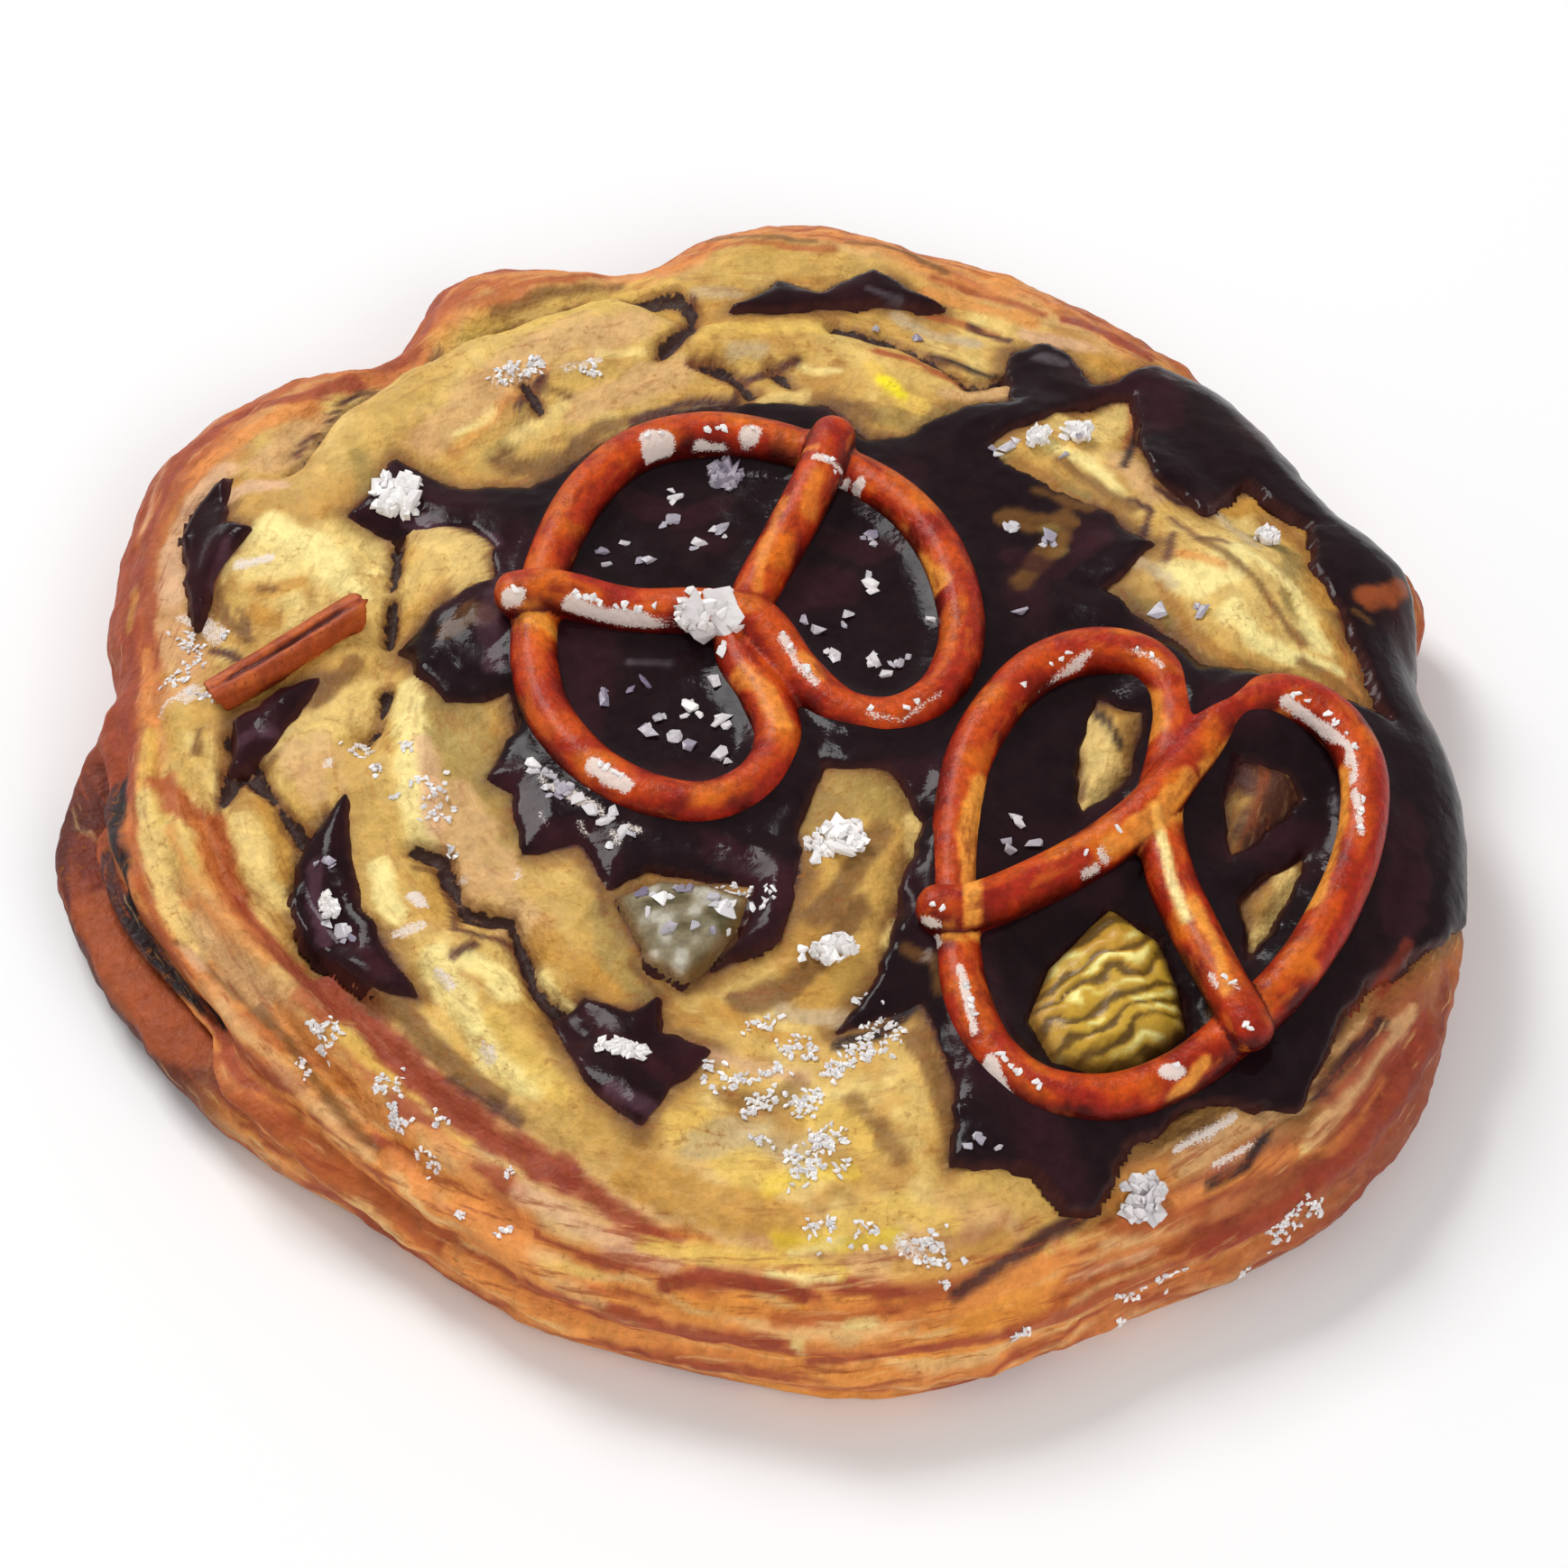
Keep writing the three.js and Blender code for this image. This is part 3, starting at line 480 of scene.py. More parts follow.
def round_sheet(cells):
    """The corners of a square sheet, stretched to a round of radius 1."""
    side = np.linspace(-1, 1, cells + 1)
    u, v = np.meshgrid(side, side, indexing="ij")
    wide = np.abs(u) >= np.abs(v)
    reach = np.where(wide, u, v)
    safe = np.where(reach == 0, 1, reach)
    angle = np.where(wide, math.pi / 4 * v / safe, math.pi / 2 - math.pi / 4 * u / safe)
    return reach * np.cos(angle), reach * np.sin(angle)


def border_loop(cells):
    """The numbers of the sheet's border corners, in order round it."""
    n = cells + 1
    corner = np.arange(n * n).reshape(n, n)
    return np.concatenate([corner[:-1, 0], corner[-1, :-1], corner[:0:-1, -1], corner[0, :0:-1]])


# %% Shape the dough
u, v = (part.ravel() for part in round_sheet(DOUGH_CELLS))
reach = skin_reach(direction_of(u, v))
map_x, map_y = u * reach, v * reach
map_x = np.where(np.hypot(map_x, map_y) < 1e-6, 1e-6, map_x)
filling = filling_depth(map_x, map_y)
lift = main_relief(map_x, map_y) + fine_relief(map_x, map_y, filling)
top = bare_skin(map_x, map_y) + skin_normal(map_x, map_y) * lift[:, None]
loop = border_loop(DOUGH_CELLS)
top[loop, 2] = 0
top[:, 2] = np.maximum(top[:, 2], 0)

rings = [loop]
points = [top]
faces = [grid_faces(DOUGH_CELLS + 1, DOUGH_CELLS + 1)]
count = len(top)
for ring in range(1, UNDERSIDE_RINGS):
    share = 1 - ring / UNDERSIDE_RINGS
    place = top[loop] * [share, share, 1]
    place[:, 2] = UNDERSIDE_BUMPS * hills(place[:, 0], place[:, 1], 5.0) * min(ring, 2) / 2
    rings.append(np.arange(count, count + len(loop)))
    points.append(place)
    count += len(loop)
points.append(np.array([[0.0, 0.0, HUB_HEIGHT]]))
for outer, inner in zip(rings[:-1], rings[1:]):
    faces.append(np.stack([outer, inner, np.roll(inner, -1), np.roll(outer, -1)], -1))
hub = np.full(len(loop), count)
last_faces = np.stack([rings[-1], hub, np.roll(rings[-1], -1)], -1)
dough = make_mesh("baked_dough", np.concatenate(points), [*np.concatenate(faces), *last_faces])
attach(dough, "root")
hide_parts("dough")
print(f"the dough has {len(dough.data.vertices)} corners and reaches {top[:, 2].max():.1f} mm up")

# %% [markdown]
# ## Colours, stroke by stroke
# A baked skin is pale gold where it was thick and damp, and orange to red-brown where the rim met the
# hot tray. Light and shade are painted into it as well: brown as painted shade in the creases and
# beside the pools, cream as painted highlights on the ridges. Noise alone would give any cookie; this
# one has each fold, each painted shade and each highlight in its place. So we paint it as a painter
# does: broad grounds first, then strokes with a colour, a strength, a half width in mm and a line on
# the map. A brush has bristles, so a stroke wears thin in streaks along its edge. The result is one
# colour for every corner of the mesh, which the material roughens further.

# %% Paints, as they look on a screen
PAINTS = {
    "gold": (208, 167, 86), "yellow": (228, 187, 88), "lemon": (246, 224, 36), "pale": (236, 203, 124),
    "cream": (250, 229, 150), "white": (248, 241, 226), "lilac": (212, 202, 206),
    "grey": (196, 172, 136),
    "tan": (216, 170, 116), "pink": (224, 178, 138), "ochre": (196, 140, 56), "olive": (152, 128, 68),
    "umber": (116, 78, 38), "orange": (224, 140, 68), "amber": (240, 158, 62), "ember": (160, 34, 20),
    "rust": (172, 84, 40), "brick": (148, 58, 36), "plum": (62, 28, 30), "black": (30, 16, 20),
    "wine": (56, 26, 32), "mauve": (88, 58, 70), "ash": (88, 82, 86), "mahogany": (80, 26, 16),
    "toast": (166, 112, 46), "deep rust": (122, 50, 40), "cocoa": (34, 14, 18),
    "thin cocoa": (70, 36, 30), "toffee": (200, 158, 52), "toffee groove shade": (96, 68, 20),
    "toffee rib highlight": (250, 240, 150), "nut": (134, 122, 96), "nut light": (206, 200, 186),
    "nut dark": (84, 74, 46), "lye": (154, 34, 8), "lye lit top": (194, 72, 12),
    "lye blister": (222, 126, 26), "lye shaded side": (70, 9, 6), "stick": (162, 68, 26),
    "stick streak and lit top": (204, 104, 44), "stick streak and shaded underside": (112, 34, 14), "stick split": (84, 26, 14),
    "crumb": (190, 122, 66),
}
# White and lilac strokes lie as salt; on the pretzels and along the pool's front left edge they are
# painted highlights as well.
SALT_AND_HIGHLIGHT_STROKES = {"white": 0.95, "lilac": 0.7}  # how thick the salt of each lies
BRUSH_FULLNESS = 1.25  # how much wider than its line's half width a brush spreads


def brush(x, y, strength, wide, line):
    """How much a stroke covers each place, from 0 to 1."""
    wide = BRUSH_FULLNESS * wide
    corners = np.array(line, float)
    low, high = corners.min(0) - 1.6 * wide - 0.5, corners.max(0) + 1.6 * wide + 0.5
    near = (x > low[0]) & (x < high[0]) & (y > low[1]) & (y < high[1])
    px, py = x[near], y[near]
    off, along, side, travelled = np.full(px.shape, 1e9), 0 * px, 0 * px, 0.0
    for (ax, ay), (bx, by) in zip(line[:-1], line[1:]):
        dx, dy = bx - ax, by - ay
        length = max(math.hypot(dx, dy), 0.1)
        share = np.clip(((px - ax) * dx + (py - ay) * dy) / length**2, 0, 1)
        gap = np.hypot(px - ax - share * dx, py - ay - share * dy)
        closer = gap < off
        off = np.where(closer, gap, off)
        along = np.where(closer, travelled + share * length, along)
        side = np.where(closer, ((px - ax) * dy - (py - ay) * dx) / length, side)
        travelled += length
    worn = off - 0.35 * wide * rough(px, py, 1.4)
    bristles = hills(along / 5 + 3 * ax, side + 7 * ay, 0.9)
    cover = np.zeros(np.shape(x))
    cover[near] = smooth(1.3 * wide + 0.1 - worn, -0.1, 0.55)
    cover[near] *= smooth(bristles + 0.9 - 0.7 * worn / wide, 0.2, 0.9)
    return strength * cover


def blend(colour, paint, cover):
    return colour + np.asarray(cover)[:, None] * (np.array(PAINTS[paint], float) - colour)


def lay_paints(ground, count, layers):
    """One ground for so many corners, and over it one paint after another, each with its cover."""
    colour = np.tile(np.array(PAINTS[ground], float), (count, 1))
    for paint, cover in layers:
        colour = blend(colour, paint, cover)
    return colour


def paint_strokes(x, y, colour, table):
    """Lays the strokes over a colour. White and lilac ones are kept apart as salt; on the pretzels and
    the pool's edge they are painted highlights too.
    """
    salt_and_highlight = np.zeros(len(x))
    for paint, strength, wide, line in table:
        cover = brush(x, y, strength, wide, line)
        if paint in SALT_AND_HIGHLIGHT_STROKES:
            salt_and_highlight = np.maximum(salt_and_highlight, cover * SALT_AND_HIGHLIGHT_STROKES[paint])
        else:
            colour = blend(colour, paint, cover)
            salt_and_highlight = salt_and_highlight * (1 - cover)
    return colour, salt_and_highlight


def set_paint(piece, colour):
    """Keeps a colour for every corner, as the linear numbers that the renderer adds up."""
    share = np.clip(colour, 0, 255) / 255
    linear = np.where(share > 0.04045, ((share + 0.055) / 1.055) ** 2.4, share / 12.92)
    layer = piece.data.attributes.new("paint", "FLOAT_COLOR", "POINT")
    layer.data.foreach_set("color", np.c_[linear, np.ones(len(linear))].astype(np.float32).ravel())


print(len(PAINTS), "paints")

# %% [markdown]
# The ground of the dough follows how far a place lies down the side. The top is mottled gold. Then
# come bands that run round the rim, because the dough stretched that way as it spread: pinkish tan on
# the shoulder, orange below it, rust at the foot.


# %% The ground
def bands(direction, past, count, thick):
    """Streaks round the rim: so many to a round, and so thick in mm."""
    return hills(direction / 360 * count, past / thick, 1.0, repeat=count)


def dough_ground(x, y, filling, folds):
    along, direction = np.hypot(x, y), direction_of(x, y)
    past = along - flat_radius(direction) + 1.3 * rough(x, y, 7.0)
    long, short = bands(direction, past, 30, 1.5), bands(direction, past + 9, 60, 0.8)
    front = smooth(-y, 10, 40)
    rim = smooth(past, 2.0, 6.0)
    ledge_side = turn_between(direction, 196)
    foot = smooth(ledge_side, -26, -12) * (1 - smooth(ledge_side, 14, 26))
    toasted = hills(x + 40, y + 13, 3.4) + 0.25 * rough(x, y, 1.6)
    creamy = hills(x - 20, y + 44, 3.0) + 0.2 * rough(x, y, 1.4)
    near = np.minimum(filling, 0) + 0.5 * rough(x, y, 2.5)
    return lay_paints("gold", len(x), [
        ("pale", 0.7 * smooth(hills(x, y, 9.0), 0.4, 0.75)),
        ("ochre", 0.5 * smooth(hills(x + 9, y, 4.0), 0.6, 0.9)),
        ("toast", 0.55 * smooth(toasted, 0.55, 0.85)),
        ("cream", 0.5 * smooth(creamy, 0.72, 0.95)),
        # Painted light and shade: ridges are painted pale as if lit, and valleys umber as painted
        # shade.
        ("pale", 0.5 * smooth(folds, 0.8, 2.4)),
        ("umber", 0.4 * smooth(-folds, 0.6, 2.2)),
        # Down the rim, which stays light for longer at the front.
        ("tan", 0.8 * smooth(past, 0.5 - 2 * front, 3.5)),
        ("orange", 0.9 * smooth(past + 3 * (long - 0.5), 1.5 + 3 * front, 5.0 + 3 * front)),
        ("rust", 0.9 * smooth(past + 5 * (long - 0.5), 5.5 + 10 * front, 10.5 + 12 * front)),
        # Streaks that run round the rim.
        ("brick", (0.7 + 0.1 * front) * rim * smooth(short, 0.56, 0.76)),
        ("amber", (0.35 + 0.45 * front) * rim * smooth(long, 0.6, 0.2)),
        ("pale", 0.6 * front * rim * smooth(short, 0.34, 0.14)),
        ("pink", 0.3 * rim * smooth(short, 0.36, 0.22)),
        # The sides that browned most: the left, the back, the right front and the lower left layer.
        ("rust", 0.75 * smooth(past, 1.0, 5.0) * bell(turn_between(direction, 160), 42)),
        ("brick", 0.6 * smooth(past + 4 * (long - 0.5), 5.0, 9.0) * smooth(y, -25, 5)),
        ("deep rust", 0.8 * rim * bell(turn_between(direction, 326), 22)),
        ("mahogany", 0.9 * foot * smooth(past, 11.5, 13.0)),
        # Painted shade beside a filling, ochre and umber, and the bed under it.
        ("ochre", 0.45 * bell(near, 2.8) * (filling <= 0)),
        ("umber", 0.8 * bell(near + 0.2, 1.0) * (filling <= 0)),
        ("plum", smooth(filling, -0.35, 0.1)),
    ])


DOUGH_STROKES = []

# %% [markdown]
# Now the strokes, one region after the other. A later stroke lies over an earlier one. Many of them
# are painted light: cream and pale strokes along ridges are painted highlights, and umber, plum,
# olive and black lines in creases, hollows and beside the fillings are painted shade.

# %% Broad grounds
DOUGH_STROKES += [
    ("yellow", 0.7, 1.7, [(-26.5, 42), (-21, 42.5), (-14.5, 44.5), (-10.5, 47)]),
    ("tan", 0.7, 1.4, [(-27.5, 28.5), (-24.5, 32.5), (-20.5, 36.5), (-16, 39.5), (-11.5, 41)]),
    ("gold", 0.8, 1.4, [(-33, 28.5), (-30.5, 32.5), (-26, 38)]),
    ("tan", 0.7, 1.3, [(-15.5, 33), (-11.5, 34.5), (-8, 36)]),
    ("yellow", 0.8, 0.8, [(-5, 40.5), (-0.5, 41), (5, 41.5)]),
    ("gold", 0.8, 1, [(-4, 51), (2, 51), (8, 50)]),
    ("cream", 0.6, 1.9, [(-40.5, 16), (-36.5, 16.5), (-32.5, 17)]),
    ("cream", 0.9, 1, [(-39.5, 19), (-36, 16.5), (-33, 13)]),
    ("pink", 0.9, 0.8, [(-43.5, 24), (-42, 24.5), (-39.5, 23.5)]),
    ("pale", 0.8, 1.1, [(-27.5, 17.5), (-24.5, 16), (-23.5, 12)]),
    ("pale", 0.8, 1.5, [(-36.5, -3), (-34.5, -0.5), (-32, 2)]),
    ("tan", 0.7, 1.5, [(-35.5, -4), (-34, -7), (-32.5, -6)]),
    ("gold", 0.8, 1.8, [(-31.5, -6), (-30.5, -12.5), (-29.5, -17.5)]),
    # Painted shade: the olive band between the ridge and the pool.
    ("olive", 0.6, 2.1, [(-24.5, -1.5), (-23.5, -8), (-21.5, -13.5)]),
    ("tan", 0.8, 1.8, [(-25, -10), (-22, -16), (-18.5, -20.5)]),
    ("ochre", 0.7, 1, [(-17.5, -22), (-14.5, -24.5), (-12, -27)]),
    ("gold", 0.8, 1.1, [(-17.5, -17.5), (-14.5, -20), (-13.5, -23)]),
    # Painted highlights: the pale and cream strokes along the ridges below the pinch.
    ("pale", 0.9, 1.1, [(-40.5, -11), (-39, -14), (-37.5, -17.5)]),
    ("cream", 0.9, 0.9, [(-28.5, 2), (-27.5, -5.5), (-27, -10), (-26.5, -13.5)]),
    ("pink", 0.7, 0.6, [(-26.5, -4.5), (-26, -8), (-25.5, -12)]),
    ("cream", 0.9, 0.7, [(-29.5, -15.5), (-29, -18), (-28, -20)]),
    ("tan", 0.8, 1.1, [(-46.5, 15.5), (-47, 11), (-46, 5.5)]),
    ("pink", 0.8, 0.8, [(-47.5, 14.5), (-48, 19), (-46.5, 24), (-44, 27.5)]),
    ("tan", 0.8, 1, [(-41, 28), (-39, 30.5), (-37.5, 33.5)]),
]

# %% The rim at the back left
DOUGH_STROKES += [
    ("pink", 0.7, 0.3, [(-51.5, 21.5), (-51.5, 26), (-50, 32.5), (-46, 37.5), (-41.5, 39)]),
    ("brick", 0.8, 0.6, [(-51, 17), (-51, 22.5), (-49, 28.5), (-45.5, 35), (-41.5, 36), (-38, 35.5),
        (-34, 38)]),
    ("orange", 0.8, 0.7, [(-47, 27), (-44, 31), (-41, 33), (-37.5, 34.5)]),
    ("rust", 0.7, 0.4, [(-50, 20), (-49, 23.5), (-47, 27)]),
    ("brick", 0.7, 0.9, [(-51, 19), (-51.5, 12), (-51, 4), (-50.5, -4)]),
    ("ochre", 0.7, 0.4, [(-51.5, 13), (-51.5, 17)]),
    # Painted shade: plum and umber along the crease behind the fold.
    ("plum", 0.95, 0.3, [(-38.5, 29.5), (-38, 31), (-37, 32)]),
    ("plum", 0.9, 0.3, [(-36, 33.5), (-35, 35.5), (-33.5, 37)]),
    ("umber", 0.9, 0.4, [(-33.5, 37), (-30.5, 37.5), (-28, 42)]),
    ("rust", 0.9, 0.8, [(-30.5, 43), (-30, 47.5), (-28, 48), (-25.5, 48)]),
    ("orange", 0.5, 0.7, [(-29, 43), (-27, 44.5), (-23.5, 46.5), (-20, 47.5)]),
    ("rust", 0.8, 0.4, [(-29, 52.5), (-22.5, 48.5), (-17, 49), (-14, 50.5)]),
    ("rust", 0.6, 0.6, [(-28, 47), (-24.5, 46.5), (-21, 47.5)]),
    ("umber", 0.7, 0.4, [(-23, 45.5), (-20, 47), (-16.5, 48), (-12.5, 49)]),
    ("orange", 0.4, 0.4, [(-25.5, 27), (-23.5, 30), (-21.5, 33), (-18.5, 36)]),
    ("cream", 0.7, 0.3, [(-25.5, 29), (-24, 30), (-22.5, 32)]),
    ("cream", 0.6, 0.3, [(-14, 38), (-12, 38), (-10.5, 38)]),
    ("olive", 0.6, 0.6, [(-22.5, 27), (-20, 30), (-19.5, 33)]),
    ("pale", 0.9, 0.6, [(-17, 33), (-18.5, 31), (-20.5, 29.5)]),
    # Painted shade: umber and plum beside the pool, round the top of the first pretzel.
    ("umber", 0.8, 1, [(-21.5, 26.5), (-18.5, 26), (-15, 27.5)]),
    ("umber", 0.7, 0.6, [(-15.5, 29), (-13.5, 30.5), (-11.5, 31.5)]),
    ("plum", 0.8, 0.5, [(-11, 31), (-9, 32), (-5.5, 32.5), (-1.5, 31.5), (1, 30.5)]),
    ("lilac", 0.8, 0.3, [(-22.5, 35), (-21, 35.5), (-19.5, 36)]),
    ("lilac", 0.8, 0.3, [(-17, 36.5), (-15.5, 37), (-14, 37.5)]),
    # Painted shade in a short crease.
    ("plum", 0.9, 0.3, [(-18.5, 35.5), (-19.5, 34), (-20.5, 32.5)]),
    ("umber", 0.8, 0.3, [(-19, 34), (-18, 34.5), (-16.5, 34)]),
    ("olive", 0.7, 0.7, [(-33, 25.5), (-32, 22.5)]),
]

# %% Round the dark crescent
DOUGH_STROKES += [
    ("ochre", 0.7, 0.4, [(-45, 23), (-44.5, 24.5), (-43, 25.5)]),
    ("white", 0.7, 0.4, [(-42, 15.5), (-39.5, 15.5)]),
    ("ochre", 0.8, 0.5, [(-40.5, 13), (-39, 12.5), (-37, 13)]),
    ("umber", 0.8, 0.3, [(-40.5, 13), (-39, 12.5)]),
    ("ochre", 0.9, 0.6, [(-40.5, 11), (-39, 10)]),
    ("umber", 0.8, 0.4, [(-44, 13.5), (-43, 11), (-41, 8.5)]),
    ("umber", 0.8, 0.3, [(-42, 11.5), (-41, 9.5)]),
    ("lilac", 0.8, 0.6, [(-46.5, 12.5), (-45, 11.5), (-43.5, 9.5)]),
    ("lilac", 0.8, 0.6, [(-47, 2.5), (-46, 3), (-45, 4)]),
    ("plum", 0.9, 0.3, [(-44, 8.5), (-42.5, 7.5), (-41, 6)]),
    ("ochre", 0.7, 0.4, [(-48, 6.5), (-45.5, 5)]),
    # Painted shadow under the end of the stick.
    ("umber", 0.7, 0.6, [(-32.5, 5.5), (-33.5, 4), (-35.5, 1.5)]),
]

# %% The left rim and its ledge
DOUGH_STROKES += [
    ("orange", 0.8, 0.5, [(-49.5, 9.5), (-48.5, 2.5), (-48, -3.5), (-48.5, -7)]),
    ("gold", 0.7, 0.6, [(-46.5, 2), (-46.5, -2), (-45, -5.5)]),
    ("yellow", 0.8, 0.5, [(-48.5, 0.5), (-48, -5), (-47, -9)]),
    ("pale", 0.9, 0.3, [(-43.5, -1), (-43.5, -4), (-42.5, -7.5)]),
    # Painted shade: the umber lines along the creases and bends of the left rim.
    ("umber", 0.8, 0.3, [(-44.5, -0.5), (-44.5, -3)]),
    ("umber", 0.9, 0.3, [(-42.5, -4.5), (-42.5, -8.5), (-42.5, -9.5)]),
    ("rust", 0.9, 0.8, [(-47, -5), (-45.5, -7.5), (-43, -10), (-42, -14), (-40.5, -18)]),
    ("brick", 0.85, 0.6, [(-41, -17), (-38.5, -20.5), (-35.5, -24), (-32, -29)]),
    ("orange", 0.6, 0.5, [(-44, -9.5), (-42.5, -15), (-40.5, -19), (-37.5, -23.5)]),
    ("umber", 0.9, 0.3, [(-41, -5.5), (-38.5, -7), (-36.5, -10.5), (-36, -14), (-36.5, -17)]),
    ("ochre", 0.7, 0.5, [(-39, -8), (-37.5, -12), (-37, -15.5)]),
    ("pale", 0.9, 0.8, [(-48.5, -7), (-48, -10.5), (-46, -16.5), (-43.5, -20)]),
    ("tan", 0.8, 0.8, [(-43.5, -18.5), (-41, -22.5), (-37, -26.5)]),
    ("orange", 0.5, 0.3, [(-46, -10), (-44.5, -14), (-42.5, -18)]),
    ("rust", 0.8, 0.3, [(-49.5, -4), (-49, -10.5), (-48, -15), (-46.5, -19.5), (-44.5, -22.5)]),
    ("umber", 0.8, 0.3, [(-45.5, -19.5), (-43, -22), (-40, -25), (-37.5, -28)]),
    ("pink", 0.8, 0.4, [(-45, -20), (-43.5, -22)]),
    ("brick", 0.6, 0.6, [(-51.5, 2.5), (-55.5, 0), (-59.5, -6), (-58.5, -13.5), (-55.5, -19.5),
        (-52, -24.5)]),
    # Painted shade: plum beside the crack under the ledge, and black in it.
    ("plum", 0.9, 0.9, [(-52.5, -2.5), (-54, -9.5), (-52.5, -15.5), (-49, -23)]),
    ("black", 1, 0.6, [(-51.5, -2.5), (-51, -8.5), (-50, -12.5), (-51.5, -15.5), (-50, -20),
        (-47, -24), (-44, -26.5)]),
    ("rust", 0.6, 0.4, [(-56.5, -12), (-53.5, -19), (-50, -25)]),
]

# %% The front left rim
DOUGH_STROKES += [
    # The umber and plum lines in this group lie in the bends of the rim: painted shade.
    ("rust", 0.85, 1.1, [(-58, -14), (-54.5, -21), (-50.5, -27), (-42.5, -32.5), (-37.5, -36.5)]),
    ("rust", 0.8, 1, [(-37.5, -36.5), (-33.5, -40.5), (-29.5, -44), (-26, -47.5)]),
    ("tan", 0.6, 0.5, [(-42, -25.5), (-37, -30.5), (-33.5, -35.5), (-30, -39)]),
    ("orange", 0.7, 0.5, [(-37, -26.5), (-34, -30), (-30.5, -34.5), (-26, -38.5)]),
    ("umber", 0.8, 0.3, [(-38.5, -26), (-36, -29.5), (-33.5, -33.5), (-31, -37), (-28.5, -40)]),
    ("rust", 0.7, 0.4, [(-35, -26.5), (-32, -30), (-29, -33.5)]),
    ("yellow", 0.8, 0.5, [(-32, -29.5), (-28.5, -33), (-25, -36), (-22, -39)]),
    ("brick", 0.9, 0.9, [(-33.5, -25), (-30.5, -27.5), (-27.5, -31.5), (-24, -35.5), (-20.5, -38.5),
        (-15, -42.5)]),
    ("brick", 0.8, 0.6, [(-15, -42.5), (-10.5, -46), (-7, -48)]),
    ("umber", 0.7, 0.6, [(-31, -26), (-27.5, -28.5), (-24, -32.5), (-20, -36)]),
    ("plum", 0.6, 0.4, [(-23.5, -34), (-20.5, -36.5), (-18.5, -38)]),
    ("orange", 0.8, 0.7, [(-28.5, -39.5), (-23.5, -42.5), (-18, -46)]),
    ("pink", 0.7, 0.6, [(-18, -43.5), (-15, -45.5), (-12, -47.5), (-7, -49.5)]),
    ("yellow", 0.5, 0.4, [(-16.5, -49), (-12.5, -50)]),
    ("brick", 0.7, 0.4, [(-26, -47.5), (-23, -49), (-20, -50.5)]),
    ("orange", 0.9, 0.6, [(-25.5, -48.5), (-20.5, -51.5), (-16, -54.5), (-10.5, -56.5)]),
    ("tan", 0.7, 0.4, [(-16.5, -50), (-12.5, -52.5)]),
    ("brick", 0.8, 0.6, [(-13.5, -54), (-8.5, -54.5), (-6, -55.5), (0, -56)]),
    ("orange", 0.9, 0.5, [(-11, -57), (-6.5, -58), (0, -59), (3.5, -59.5), (8.5, -59)]),
    ("brick", 0.9, 0.5, [(-7.5, -51), (-5, -50.5), (-2.5, -51), (0, -51.5), (3, -52.5)]),
    ("brick", 0.9, 0.4, [(4.5, -51.5), (7, -52), (9.5, -52)]),
    ("rust", 0.7, 0.5, [(0.5, -54), (5, -54), (9.5, -53), (13, -51.5)]),
    ("yellow", 0.9, 0.5, [(-9, -48), (-4.5, -49), (0.5, -49.5), (5, -50.5)]),
    ("cream", 0.9, 0.3, [(0, -50.5), (2.5, -51), (4.5, -51)]),
    ("cream", 0.8, 0.3, [(5.5, -54.5), (7.5, -54.5)]),
    ("cream", 0.7, 0.4, [(2, -56), (2.5, -57.5)]),
    ("orange", 0.8, 0.4, [(3, -53), (7, -53)]),
    ("brick", 0.8, 0.5, [(3, -58.5), (8.5, -57.5), (13.5, -56), (18, -55)]),
]

